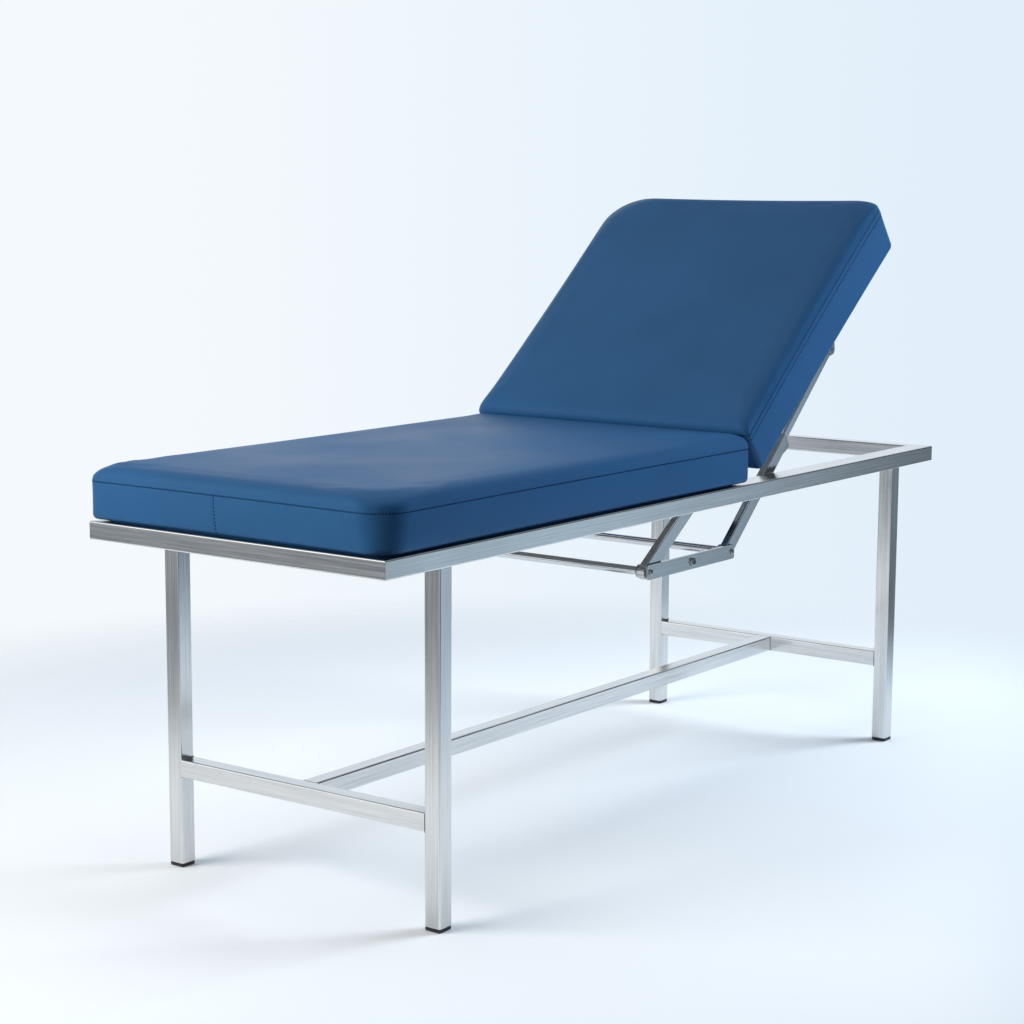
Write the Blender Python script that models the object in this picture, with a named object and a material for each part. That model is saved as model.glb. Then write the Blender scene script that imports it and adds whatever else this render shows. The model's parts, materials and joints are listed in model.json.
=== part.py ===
"""Examination table: a welded tube frame, an upholstered seat and a hinged backrest on telescopic struts.

Metres, +Z up. The origin is on the floor under the middle of the frame, +X points to the head end,
and -Y is the near long side. The backrest stands raised at its upper stop.
"""

import math

import bmesh
import bpy
from mathutils import Matrix, Vector

# Fit between pieces that touch
GAP = 0.0003

# Frame
FRAME_LENGTH = 1.880
FRAME_WIDTH = 0.650
RAIL_TOP = 0.640
RAIL_WIDTH = 0.050
END_RAIL_WIDTH = 0.032
TUBE = 0.032
TUBE_WALL = 0.0015
TUBE_CORNER = 0.0025
FOOT_LEG_SETBACK = 0.157
HEAD_LEG_SETBACK = 0.119
STRETCHER_TOP = 0.198
CAP_HEIGHT = 0.007
CAP_PLUG = 0.020
CAP_CORNER = 0.00125

# Upholstery
CUSHION_INSET = 0.001
SEAT_LENGTH = 1.092
SEAT_LIFT = 0.003
SEAT_BOXING = 0.065
BACK_BOXING = 0.087
HEAD_SWELL = 0.014
EDGE_RADIUS = 0.030
CROWN = 0.004
FREE_CORNER = 0.022
SEAT_DOME = 0.055
BACK_DOME = 0.080
CREASE_CORNER = 0.010
CREASE_DOME = 0.012
DRAW_IN = 0.003
RIM_ROUNDING = 0.007
RIM_CHAMFER = 0.0021
SEAM_PINCH = 0.0015
BOARD_THICKNESS = 0.012
BOARD_INSET = 0.016
BOARD_CORNER = 0.030

# Backrest and its hinges
BACKREST_ANGLE = math.radians(38.5)
BACKREST_LENGTH = 0.684
BACKREST_REST_GAP = 0.0005
CREASE_GAP = 0.0005
HINGE_SETBACK = 0.011
HINGE_RISE = 0.045
HINGE_REACH = 0.026
HINGE_INSET = 0.075
HINGE_WIDTH = 0.050
HINGE_PLATE = 0.003
HINGE_PLATE_MARGIN = 0.003
HINGE_EAR = 0.004
HINGE_WALL = 0.0032
HINGE_PIN_RADIUS = 0.0035
HINGE_LEAF = 0.004
HINGE_LEAF_LENGTH = 0.120

# Cradle under the rails
ROD_DROP = 0.1375
ROD_RADIUS = 0.008
REAR_ROD_OFFSET = 0.001
LINK_PITCH = 0.289
LINK_HEIGHT = 0.028
LINK_THICKNESS = 0.005
LINK_END = 0.010
LINK_CORNER = 0.004
LINK_CORNER_STEPS = 4
ARM_DEPTH = 0.030
ARM_WIDTH = 0.015
ARM_ANGLE = math.radians(35.0)
ARM_TOP_DROP = 0.008
SLEEVE_RADIUS = 0.014
SLEEVE_STEPS = 32
COLLAR_WALL = 0.004
COLLAR_LENGTH = 0.006
SCREW_RADIUS = 0.003
SCREW_HEAD_RADIUS = 0.0055
SCREW_HEAD_HEIGHT = 0.0035
SCREW_CROWN_RADIUS = 0.0039
SCREW_REACH = 0.018
BOLT_RADIUS = 0.004
BOLT_HEAD_RADIUS = 0.0075
BOLT_HEAD_HEIGHT = 0.005
BOLT_SOCKET_RADIUS = 0.0042
BOLT_SOCKET_DEPTH = 0.0035
BOLT_TAIL = 0.003
NUT_RADIUS = 0.0075
NUT_HEIGHT = 0.0065
NUT_SIDES = 6

# Telescopic struts
STRUT_ANGLE = math.radians(42.6)
STRUT_LENGTH = 0.545
STRUT_RAIL_CLEARANCE = 0.0015
OUTER_LENGTH = 0.297
BAR_DEPTH = 0.015
BAR_WIDTH = 0.006
BAR_START = 0.135
BUSH_SIDE_WALL = 0.0024
BUSH_EDGE_WALL = 0.0049
BUSH_LENGTH = 0.022
BUSH_CORNER = 0.00075
STRUT_PIN_RADIUS = 0.004
EYE_PLAY = 0.0055
EYE_WALL = 0.0040
CHEEK = 0.003
CHEEK_PLAY = 0.0008
CHEEK_WALL = 0.007
CHEEK_HALF_BASE = 0.045
TOOTH_PITCH = 0.022
TOOTH_DEPTH = 0.003
TOOTH_COUNT = 6
TOOTH_START = 0.146

# Board screws
SEAT_SCREW_INSET = 0.125
SEAT_SCREW_BITE = 0.009
SEAT_SCREW_HEAD_RADIUS = 0.006
SEAT_SCREW_HEAD_HEIGHT = 0.004
SEAT_SCREW_CROWN_RADIUS = 0.0042

# Places worked out from the sizes
HALF_LENGTH = FRAME_LENGTH / 2
HALF_WIDTH = FRAME_WIDTH / 2
RAIL_BOTTOM = RAIL_TOP - TUBE
RAIL_INNER = HALF_WIDTH - RAIL_WIDTH
LEG_Y = RAIL_INNER + TUBE / 2
FOOT_LEG_X = FOOT_LEG_SETBACK + TUBE / 2 - HALF_LENGTH
HEAD_LEG_X = HALF_LENGTH - HEAD_LEG_SETBACK - TUBE / 2
STRETCHER_Z = STRETCHER_TOP - TUBE / 2
RAIL_Z = RAIL_TOP - TUBE / 2

SEAT_FOOT_X = CUSHION_INSET - HALF_LENGTH
SEAT_REAR_X = SEAT_FOOT_X + SEAT_LENGTH
SEAT_RIM_Z = RAIL_TOP + SEAT_LIFT
SEAT_BOARD_Z = RAIL_TOP + GAP
SEAT_SCREW_SPREAD = RAIL_INNER - SEAT_SCREW_INSET
CUSHION_WIDTH = FRAME_WIDTH - 2 * CUSHION_INSET
SEAM_Z = SEAT_RIM_Z + SEAT_BOXING

KNUCKLE_RADIUS = HINGE_PIN_RADIUS + HINGE_WALL
HINGE_X = SEAT_REAR_X + HINGE_SETBACK
HINGE_Z = RAIL_TOP + HINGE_RISE
HINGE_SPREAD = RAIL_INNER - HINGE_INSET
HINGE_TUBE_X = HINGE_X - HINGE_REACH - TUBE / 2
SEAT_TUBE_X = (SEAT_FOOT_X + HINGE_TUBE_X) / 2
BACK_LEVEL = BACKREST_REST_GAP - HINGE_RISE

REAR_ROD_X = HINGE_X + REAR_ROD_OFFSET
FRONT_ROD_X = REAR_ROD_X - LINK_PITCH
ROD_Z = RAIL_TOP - ROD_DROP
ARM_Y = RAIL_INNER - GAP - ARM_WIDTH / 2

BUSH_DEPTH = BAR_DEPTH + 2 * (BUSH_EDGE_WALL + GAP)
BUSH_WIDTH = BAR_WIDTH + 2 * (BUSH_SIDE_WALL + GAP)
OUTER_DEPTH = BUSH_DEPTH + 2 * (TUBE_WALL + GAP)
OUTER_WIDTH = BUSH_WIDTH + 2 * (TUBE_WALL + GAP)
FORK_HALF = BAR_WIDTH / 2 + CHEEK_PLAY + CHEEK
STRUT_Y = RAIL_INNER - STRUT_RAIL_CLEARANCE - max(FORK_HALF, OUTER_WIDTH / 2)
EYE_HOLE_RADIUS = STRUT_PIN_RADIUS + EYE_PLAY
EYE_RADIUS = EYE_HOLE_RADIUS + EYE_WALL

SIDES = (("near", -1), ("far", 1))
ROUND_STEPS = 20
TUBE_CORNER_STEPS = 3
CUSHION_CORNER_STEPS = 6
CUSHION_LONG_STEPS = 10
CUSHION_SHORT_STEPS = 7
EDGE_STEPS = 4
BAND_SHARE = 0.6
SMOOTH_ANGLE = math.radians(35.0)
CROWN_SHARES = (0.15, 0.35, 0.6, 0.85)


def clear_scene():
    """Remove every object of the open scene."""
    for item in list(bpy.data.objects):
        bpy.data.objects.remove(item, do_unlink=True)


def principled(name, rgb, roughness, metallic):
    """Return a material with one Principled BSDF."""
    finish = bpy.data.materials.new(name)
    finish.use_nodes = True
    shader = finish.node_tree.nodes["Principled BSDF"]
    shader.inputs["Base Color"].default_value = (*rgb, 1.0)
    shader.inputs["Roughness"].default_value = roughness
    shader.inputs["Metallic"].default_value = metallic
    return finish


def add_object(name, mesh, finish, place=(0, 0, 0), turn=(0, 0, 0), parent=None):
    """Link a mesh to the scene as one named piece, shaded smooth except at its edges."""
    mesh.shade_smooth()
    mesh.set_sharp_from_angle(angle=SMOOTH_ANGLE)
    mesh.materials.append(finish.copy())
    piece = bpy.data.objects.new(name, mesh)
    piece.location = place
    piece.rotation_euler = turn
    piece.parent = parent
    bpy.context.scene.collection.objects.link(piece)
    return piece


def add_pivot(name, place, turn):
    """Add an empty on a joint's axis, to carry the pieces that move about it."""
    pivot = bpy.data.objects.new(name, None)
    pivot.location = place
    pivot.rotation_euler = turn
    bpy.context.scene.collection.objects.link(pivot)
    return pivot


def boolean(target, tool, operation):
    """Join or cut a piece with a tool object, which is then hidden."""
    tool.hide_render = True
    tool.display_type = "WIRE"
    step = target.modifiers.new(f"{operation.lower()} {tool.name}", "BOOLEAN")
    step.operation = operation
    step.solver = "EXACT"
    step.object = tool


def finish_mesh(name, builder):
    """Close a bmesh, point its faces outwards and return it as a mesh."""
    bmesh.ops.recalc_face_normals(builder, faces=builder.faces[:])
    mesh = bpy.data.meshes.new(name)
    builder.to_mesh(mesh)
    builder.free()
    return mesh


def loft(name, rings):
    """Return a closed mesh through rings of equal point counts, capped at the first and the last."""
    builder = bmesh.new()
    loops = [[builder.verts.new(point) for point in ring] for ring in rings]
    count = len(loops[0])
    for low, high in zip(loops, loops[1:]):
        for index in range(count):
            after = (index + 1) % count
            builder.faces.new((low[index], low[after], high[after], high[index]))
    builder.faces.new(loops[0][::-1])
    builder.faces.new(loops[-1])
    return finish_mesh(name, builder)


def rounded_rectangle(width, height, radius, steps):
    """Return the points of a rectangle with round corners, centred on its middle."""
    points = []
    for index, (sx, sy) in enumerate(((1, 1), (-1, 1), (-1, -1), (1, -1))):
        centre = (sx * (width / 2 - radius), sy * (height / 2 - radius))
        for step in range(steps + 1):
            angle = math.pi / 2 * (index + step / steps)
            points.append((centre[0] + radius * math.cos(angle), centre[1] + radius * math.sin(angle)))
    return points


def tube_mesh(name, start, end, width, height, start_skew=(0, 0), end_skew=(0, 0)):
    """Return an open rectangular tube along X; a skew tilts its end cut over the section's Y and Z."""
    outer = rounded_rectangle(width, height, TUBE_CORNER, TUBE_CORNER_STEPS)
    bore_corner = max(TUBE_CORNER - TUBE_WALL, TUBE_WALL / 2)
    bore = rounded_rectangle(width - 2 * TUBE_WALL, height - 2 * TUBE_WALL, bore_corner, TUBE_CORNER_STEPS)

    def ring(section, place, skew):
        return [(place + skew[0] * y + skew[1] * z, y, z) for y, z in section]

    builder = bmesh.new()
    rings = [
        ring(outer, start, start_skew),
        ring(outer, end, end_skew),
        ring(bore, end, end_skew),
        ring(bore, start, start_skew),
    ]
    loops = [[builder.verts.new(point) for point in points] for points in rings]
    count = len(outer)
    for low, high in zip(loops, loops[1:] + loops[:1]):
        for index in range(count):
            after = (index + 1) % count
            builder.faces.new((low[index], low[after], high[after], high[index]))
    return finish_mesh(name, builder)


def prism_mesh(name, outline, low, high):
    """Return an outline drawn in X and Z, extruded along Y from low to high."""
    return loft(name, [[(x, y, z) for x, z in outline] for y in (low, high)])


def round_mesh(name, radius, low, high, steps=ROUND_STEPS):
    """Return a solid round bar along Y."""
    angles = [math.tau * index / steps for index in range(steps)]
    circle = [(radius * math.cos(angle), radius * math.sin(angle)) for angle in angles]
    return prism_mesh(name, circle, low, high)


def turned_mesh(name, profile, steps=ROUND_STEPS):
    """Return a shape turned about Y through rings of (radius, y)."""
    rings = []
    for radius, y in profile:
        angles = (math.tau * index / steps for index in range(steps))
        rings.append([(radius * math.cos(angle), y, radius * math.sin(angle)) for angle in angles])
    return loft(name, rings)


def arc_points(centre, radius, first, last, steps):
    """Return points on an arc in X and Z, from one angle to another."""
    points = []
    for step in range(steps + 1):
        angle = first + (last - first) * step / steps
        points.append((centre[0] + radius * math.cos(angle), centre[1] + radius * math.sin(angle)))
    return points


def cutter(name, mesh, place, parent=None, turn=(0, 0, 0)):
    """Add a tool object for a Boolean."""
    tool = bpy.data.objects.new(name, mesh)
    tool.location = place
    tool.rotation_euler = turn
    tool.parent = parent
    bpy.context.scene.collection.objects.link(tool)
    return tool


def drill(target, radius, place, low, high, parent=None, turn=(0, 0, 0)):
    """Cut a round hole along the tool's own Y axis."""
    name = f"drill_{target.name}_{len(target.modifiers)}"
    boolean(target, cutter(name, round_mesh(name, radius, low, high), place, parent, turn), "DIFFERENCE")


def build_rails(steel):
    """Four rails in one level, mitred at the corners."""
    skew = END_RAIL_WIDTH / RAIL_WIDTH
    reach = HALF_LENGTH - END_RAIL_WIDTH / 2 - GAP
    for side, sign in SIDES:
        name = f"side_rail_{side}"
        mesh = tube_mesh(name, -reach, reach, RAIL_WIDTH, TUBE, (-sign * skew, 0), (sign * skew, 0))
        add_object(name, mesh, steel, (0, sign * (HALF_WIDTH - RAIL_WIDTH / 2), RAIL_Z))
    reach = HALF_WIDTH - RAIL_WIDTH / 2 - GAP
    for end, sign in (("foot", -1), ("head", 1)):
        name = f"{end}_end_rail"
        mesh = tube_mesh(name, -reach, reach, END_RAIL_WIDTH, TUBE, (sign / skew, 0), (-sign / skew, 0))
        place = (sign * (HALF_LENGTH - END_RAIL_WIDTH / 2), 0, RAIL_Z)
        add_object(name, mesh, steel, place, (0, 0, math.pi / 2))


def build_legs(steel, plastic):
    """Four legs under the side rails, each on a plastic cap plugged into its bore."""
    upright = (0, -math.pi / 2, 0)
    plug = TUBE - 2 * (TUBE_WALL + GAP)
    for end, x in (("foot", FOOT_LEG_X), ("head", HEAD_LEG_X)):
        for side, sign in SIDES:
            name = f"leg_{end}_{side}"
            place = (x, sign * LEG_Y, 0)
            mesh = tube_mesh(name, CAP_HEIGHT + GAP, RAIL_BOTTOM - GAP, TUBE, TUBE)
            add_object(name, mesh, steel, place, upright)
            name = f"foot_cap_{end}_{side}"
            flange = rounded_rectangle(TUBE, TUBE, TUBE_CORNER, TUBE_CORNER_STEPS)
            stem = rounded_rectangle(plug, plug, CAP_CORNER, TUBE_CORNER_STEPS)
            levels = ((flange, 0), (flange, CAP_HEIGHT), (stem, CAP_HEIGHT), (stem, CAP_HEIGHT + CAP_PLUG))
            rings = [[(px, py, z) for px, py in section] for section, z in levels]
            add_object(name, loft(name, rings), plastic, place)


def build_stretchers(steel):
    """An H of tubes between the legs, low down."""
    across = LEG_Y - TUBE / 2 - GAP
    for end, x in (("foot", FOOT_LEG_X), ("head", HEAD_LEG_X)):
        name = f"cross_stretcher_{end}"
        mesh = tube_mesh(name, -across, across, TUBE, TUBE)
        add_object(name, mesh, steel, (x, 0, STRETCHER_Z), (0, 0, math.pi / 2))
    start = FOOT_LEG_X + TUBE / 2 + GAP
    end = HEAD_LEG_X - TUBE / 2 - GAP
    mesh = tube_mesh("centre_stretcher", start, end, TUBE, TUBE)
    add_object("centre_stretcher", mesh, steel, (0, 0, STRETCHER_Z))


def build_cross_tubes(steel):
    """Two tubes between the side rails that carry the seat board and the hinges, drilled for the screws."""
    across = RAIL_INNER - GAP
    for name, x in (("seat_cross_tube", SEAT_TUBE_X), ("hinge_cross_tube", HINGE_TUBE_X)):
        mesh = tube_mesh(name, -across, across, TUBE, TUBE)
        tube = add_object(name, mesh, steel, (x, 0, RAIL_Z), (0, 0, math.pi / 2))
        for _, sign in SIDES:
            place = (x, sign * SEAT_SCREW_SPREAD, RAIL_Z)
            drill(tube, SCREW_RADIUS + GAP, place, -TUBE, TUBE, turn=(math.pi / 2, 0, 0))


def cushion_ring(length, width, inset, radii, draw, z):
    """Return one level of a pad: a rounded rectangle from the crease at X 0 to the free end.

    The radii are those of the crease's corners and the free end's. Except at the crease, the sides pull
    in by draw between the corners.
    """
    crease, free = radii
    near_end = inset
    far_end = length - inset
    half = width / 2 - inset
    corners = (
        Vector((far_end - free, half - free)),
        Vector((near_end + crease, half - crease)),
        Vector((near_end + crease, crease - half)),
        Vector((far_end - free, free - half)),
    )
    points = []
    for index, centre in enumerate(corners):
        radius = crease if index in (1, 2) else free
        for step in range(CUSHION_CORNER_STEPS + 1):
            angle = math.pi / 2 * (index + step / CUSHION_CORNER_STEPS)
            points.append(centre + radius * Vector((math.cos(angle), math.sin(angle))))
        outward = Vector((math.cos(math.pi / 2 * (index + 1)), math.sin(math.pi / 2 * (index + 1))))
        start = centre + radius * outward
        after = (index + 1) % 4
        end = corners[after] + (crease if after in (1, 2) else free) * outward
        steps = CUSHION_SHORT_STEPS if index % 2 else CUSHION_LONG_STEPS
        pull = 0 if index == 1 else draw
        for step in range(1, steps):
            share = step / steps
            points.append(start.lerp(end, share) - outward * pull * 4 * share * (1 - share))
    return [(point.x, point.y, z) for point in points]


def cushion_mesh(name, length, rim, boxing, board_top, dome, swell=0):
    """Return a crowned pad with a pocket for its board underneath, along X from its crease at 0.

    The rim is its lowest level, boxing the height of its side band, and board_top the level of the board
    in the pocket. Above the band's seam the corners widen into a dome, by dome at the free end. Towards that
    end the pad grows thicker by swell.
    """
    seam = rim + boxing

    def swollen(point):
        x, y, z = point
        share = min(max((z - board_top - GAP) / (seam - board_top), 0), 1)
        return x, y, z + swell * share * x / length

    def band(inset, z):
        radii = (max(CREASE_CORNER - inset, GAP), FREE_CORNER - inset)
        return cushion_ring(length, CUSHION_WIDTH, inset, radii, DRAW_IN, z)

    def panel(inset, z, share):
        most = CUSHION_WIDTH / 2 - inset - RIM_ROUNDING
        radii = (
            min(CREASE_CORNER + CREASE_DOME * share, most),
            min(FREE_CORNER + dome * share, most),
        )
        return cushion_ring(length, CUSHION_WIDTH, inset, radii, DRAW_IN, z)

    pocket = BOARD_INSET - GAP
    pocket_radii = (BOARD_CORNER + GAP, BOARD_CORNER + GAP)
    rings = [
        cushion_ring(length, CUSHION_WIDTH, pocket, pocket_radii, 0, board_top + GAP),
        cushion_ring(length, CUSHION_WIDTH, pocket, pocket_radii, 0, rim),
        band(RIM_ROUNDING, rim),
        band(RIM_CHAMFER, rim + RIM_CHAMFER),
        band(0, rim + RIM_ROUNDING),
        band(0, rim + boxing * BAND_SHARE),
        band(SEAM_PINCH, seam),
    ]
    for step in range(1, EDGE_STEPS + 1):
        angle = math.pi / 2 * step / EDGE_STEPS
        share = 1 - math.cos(angle)
        inset = SEAM_PINCH + (EDGE_RADIUS - SEAM_PINCH) * share
        rings.append(panel(inset, seam + EDGE_RADIUS * math.sin(angle), share))
    flat = CUSHION_WIDTH / 2 - EDGE_RADIUS
    for share in CROWN_SHARES:
        rise = CROWN * (1 - (1 - share) ** 2)
        rings.append(panel(EDGE_RADIUS + flat * share, seam + EDGE_RADIUS + rise, 1))
    return loft(name, [[swollen(point) for point in ring] for ring in rings])


def board_mesh(name, length, low):
    """Return the plywood board that fills a pad's pocket, in the pad's frame."""
    section = rounded_rectangle(
        length - 2 * BOARD_INSET,
        CUSHION_WIDTH - 2 * BOARD_INSET,
        BOARD_CORNER,
        CUSHION_CORNER_STEPS,
    )
    return loft(name, [[(x + length / 2, y, z) for x, y in section] for z in (low, low + BOARD_THICKNESS)])


def build_seat(vinyl, plywood, zinc):
    """The fixed pad: a board on the rails, its upholstery, and the screws that hold it from below."""
    place = (SEAT_REAR_X, 0, 0)
    half_turn = (0, 0, math.pi)
    mesh = board_mesh("seat_board", SEAT_LENGTH, SEAT_BOARD_Z)
    board = add_object("seat_board", mesh, plywood, place, half_turn)
    top = SEAT_BOARD_Z + BOARD_THICKNESS
    mesh = cushion_mesh("seat_cushion", SEAT_LENGTH, SEAT_RIM_Z, SEAT_BOXING, top, SEAT_DOME)
    add_object("seat_cushion", mesh, vinyl, place, half_turn)
    underside = RAIL_BOTTOM - GAP
    tip = SEAT_BOARD_Z + SEAT_SCREW_BITE
    profile = [
        (SEAT_SCREW_CROWN_RADIUS, underside - SEAT_SCREW_HEAD_HEIGHT),
        (SEAT_SCREW_HEAD_RADIUS, underside - SEAT_SCREW_HEAD_HEIGHT / 2),
        (SEAT_SCREW_HEAD_RADIUS, underside),
        (SCREW_RADIUS, underside),
        (SCREW_RADIUS, tip),
    ]
    upright = (math.pi / 2, 0, 0)
    for row, x in (("mid", SEAT_TUBE_X), ("rear", HINGE_TUBE_X)):
        for side, sign in SIDES:
            name = f"seat_screw_{row}_{side}"
            place = (x, sign * SEAT_SCREW_SPREAD, 0)
            add_object(name, turned_mesh(name, profile), zinc, place, upright)
            drill(board, SCREW_RADIUS + GAP, place, 0, tip + GAP, turn=upright)


def hinge_ear_outline(foot_low, foot_high):
    """Return the side view of an ear about its pin: a post that rises from a foot on the hinge tube."""
    plate = GAP + HINGE_PLATE / 2 - HINGE_REACH
    return arc_points((0, 0), KNUCKLE_RADIUS, 0, math.pi, ROUND_STEPS // 2) + [
        (-KNUCKLE_RADIUS, foot_high - GAP),
        (plate, foot_high - GAP),
        (plate, foot_low + GAP),
        (0, foot_low + GAP),
        (KNUCKLE_RADIUS, foot_high),
    ]


def hinge_leaf_outline():
    """Return the side view of a leaf: a knuckle, a web down to the board, and a flange under it."""
    high = BACK_LEVEL - GAP
    low = high - HINGE_LEAF
    half = HINGE_LEAF / 2
    neck = math.asin(half / KNUCKLE_RADIUS)
    first = neck - math.pi / 2
    return arc_points((0, 0), KNUCKLE_RADIUS, first, math.pi - first, ROUND_STEPS) + [
        (-half, low),
        (HINGE_LEAF_LENGTH, low),
        (HINGE_LEAF_LENGTH, high),
        (half, high),
    ]


def build_hinges(steel, zinc, pivot):
    """Two hinges between the pads: ears on the hinge tube, a pin, and a leaf under the backrest."""
    ear_inner = HINGE_WIDTH / 2 - HINGE_EAR
    leaf_half = ear_inner - 2 * GAP
    pin_half = HINGE_WIDTH / 2 + HINGE_EAR / 2
    foot_low = RAIL_BOTTOM + HINGE_PLATE_MARGIN - HINGE_Z
    foot_high = RAIL_TOP - HINGE_PLATE_MARGIN - HINGE_Z
    face = GAP - HINGE_REACH
    inner = face + HINGE_PLATE
    plate = [(face, foot_low), (inner, foot_low), (inner, foot_high), (face, foot_high)]
    ear = hinge_ear_outline(foot_low, foot_high)
    leaf = hinge_leaf_outline()
    for side, sign in SIDES:
        place = (HINGE_X, sign * HINGE_SPREAD, HINGE_Z)
        name = f"hinge_bracket_{side}"
        bracket = add_object(name, prism_mesh(name, plate, -HINGE_WIDTH / 2, HINGE_WIDTH / 2), steel, place)
        for edge in (-1, 1):
            low, high = sorted((edge * ear_inner, edge * HINGE_WIDTH / 2))
            lug = f"{name}_ear_{edge + 1}"
            boolean(bracket, cutter(lug, prism_mesh(lug, ear, low, high), place), "UNION")
        drill(bracket, HINGE_PIN_RADIUS + GAP, place, -HINGE_WIDTH, HINGE_WIDTH)
        name = f"hinge_pin_{side}"
        add_object(name, round_mesh(name, HINGE_PIN_RADIUS, -pin_half, pin_half), zinc, place)
        name = f"hinge_leaf_{side}"
        local = (0, sign * HINGE_SPREAD, 0)
        moving = add_object(name, prism_mesh(name, leaf, -leaf_half, leaf_half), steel, local, parent=pivot)
        drill(moving, HINGE_PIN_RADIUS + GAP, local, -HINGE_WIDTH, HINGE_WIDTH, parent=pivot)


def crease_offset():
    """Return how far the backrest pad starts from its hinge, so that the pads just clear when it is raised.

    The seat pad's rear top edge and the backrest pad's lower front edge are round, with the same radius, and
    their centres stand two radii and the crease gap apart.
    """
    along = Vector((math.cos(BACKREST_ANGLE), math.sin(BACKREST_ANGLE)))
    normal = Vector((-along.y, along.x))
    seat_centre = Vector((SEAT_REAR_X - EDGE_RADIUS, SEAM_Z))
    seam_height = BACK_LEVEL + BACK_BOXING
    start = Vector((HINGE_X, HINGE_Z)) + EDGE_RADIUS * along + seam_height * normal - seat_centre
    reach = 2 * EDGE_RADIUS + CREASE_GAP
    half = start.dot(along)
    return -half + math.sqrt(half * half - start.length_squared + reach * reach)


def build_backrest(vinyl, plywood, pivot):
    """The moving pad, in the frame of its hinge: along X from the hinge, with its front at +Z."""
    start = crease_offset()
    mesh = board_mesh("backrest_board", BACKREST_LENGTH, BACK_LEVEL)
    add_object("backrest_board", mesh, plywood, (start, 0, 0), parent=pivot)
    top = BACK_LEVEL + BOARD_THICKNESS
    name = "backrest_cushion"
    mesh = cushion_mesh(name, BACKREST_LENGTH, BACK_LEVEL, BACK_BOXING, top, BACK_DOME, HEAD_SWELL)
    add_object(name, mesh, vinyl, (start, 0, 0), parent=pivot)


def build_cradle(steel, chrome, zinc):
    """Arms, links, rods and fasteners that hang under the rails and hold the struts' lower ends."""
    link_inner = RAIL_INNER
    link_outer = link_inner + LINK_THICKNESS
    rod_half = link_inner - GAP
    arm_rise = RAIL_TOP - ARM_TOP_DROP - ROD_Z
    arm_length = arm_rise / math.sin(ARM_ANGLE)
    arm_skew = -1 / math.tan(ARM_ANGLE)
    collar_bore = ROD_RADIUS + GAP
    link_length = LINK_PITCH + 2 * LINK_END
    corners = rounded_rectangle(link_length, LINK_HEIGHT, LINK_CORNER, LINK_CORNER_STEPS)
    link = [(x + LINK_PITCH / 2, z) for x, z in corners]
    ends = (("front", FRONT_ROD_X, ARM_Y - ARM_WIDTH / 2), ("rear", REAR_ROD_X, STRUT_Y - OUTER_WIDTH / 2))
    for row, x, inner_face in ends:
        name = f"rod_{row}"
        rod = add_object(name, round_mesh(name, ROD_RADIUS, -rod_half, rod_half), chrome, (x, 0, ROD_Z))
        for side, sign in SIDES:
            low, high = sorted((sign * (rod_half - SCREW_REACH), sign * (rod_half + SCREW_REACH)))
            drill(rod, SCREW_RADIUS + GAP, (x, 0, ROD_Z), low, high)
            place = (x, sign * (inner_face - GAP), ROD_Z)
            build_collar(f"rod_collar_{row}_{side}", collar_bore, place, sign, zinc)
    for side, sign in SIDES:
        low, high = sorted((sign * link_inner, sign * link_outer))
        name = f"link_{side}"
        plate = add_object(name, prism_mesh(name, link, low, high), steel, (FRONT_ROD_X, 0, ROD_Z))
        middle = (FRONT_ROD_X + LINK_PITCH / 2, 0, ROD_Z)
        for x, radius in ((FRONT_ROD_X, SCREW_RADIUS), (REAR_ROD_X, SCREW_RADIUS), (middle[0], BOLT_RADIUS)):
            drill(plate, radius + GAP, (x, 0, ROD_Z), low - LINK_THICKNESS, high + LINK_THICKNESS)
        name = f"cradle_arm_{side}"
        mesh = tube_mesh(name, 0, arm_length, ARM_WIDTH, ARM_DEPTH, end_skew=(0, arm_skew))
        place = (FRONT_ROD_X, sign * ARM_Y, ROD_Z)
        arm = add_object(name, mesh, steel, place, (0, -ARM_ANGLE, 0))
        add_sleeve(arm, ARM_WIDTH, place)
        outward = (0, 0, 0) if sign > 0 else (0, 0, math.pi)
        for row, x in (("front", FRONT_ROD_X), ("rear", REAR_ROD_X)):
            build_link_screw(f"link_screw_{row}_{side}", (x, sign * link_outer, ROD_Z), outward, zinc)
        build_link_bolt(side, (middle[0], sign * link_outer, ROD_Z), outward, zinc)


def add_sleeve(tube, width, place, parent=None):
    """Weld a round sleeve across the lower end of a tube and bore it for its rod."""
    half = width / 2 - GAP
    tool = f"{tube.name}_sleeve"
    mesh = round_mesh(tool, SLEEVE_RADIUS, -half, half, SLEEVE_STEPS)
    boolean(tube, cutter(tool, mesh, place, parent), "UNION")
    drill(tube, ROD_RADIUS + GAP, place, -width, width, parent=parent)


def build_collar(name, bore, place, sign, zinc):
    """A ring on a rod, its outer face at place, that keeps an arm or a strut from sliding inwards."""
    outer = bore + COLLAR_WALL
    low, high = sorted((0, -sign * COLLAR_LENGTH))
    collar = add_object(name, round_mesh(name, outer, low, high), zinc, place)
    drill(collar, bore, place, low - COLLAR_LENGTH, high + COLLAR_LENGTH)


def build_link_screw(name, place, turn, zinc):
    """A pan-head screw through a link into the end of a rod; +Y points out of the link."""
    profile = [
        (SCREW_RADIUS, -LINK_THICKNESS - SCREW_REACH + 2 * GAP),
        (SCREW_RADIUS, GAP),
        (SCREW_HEAD_RADIUS, GAP),
        (SCREW_HEAD_RADIUS, GAP + SCREW_HEAD_HEIGHT / 2),
        (SCREW_CROWN_RADIUS, GAP + SCREW_HEAD_HEIGHT),
    ]
    add_object(name, turned_mesh(name, profile), zinc, place, turn)


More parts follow.
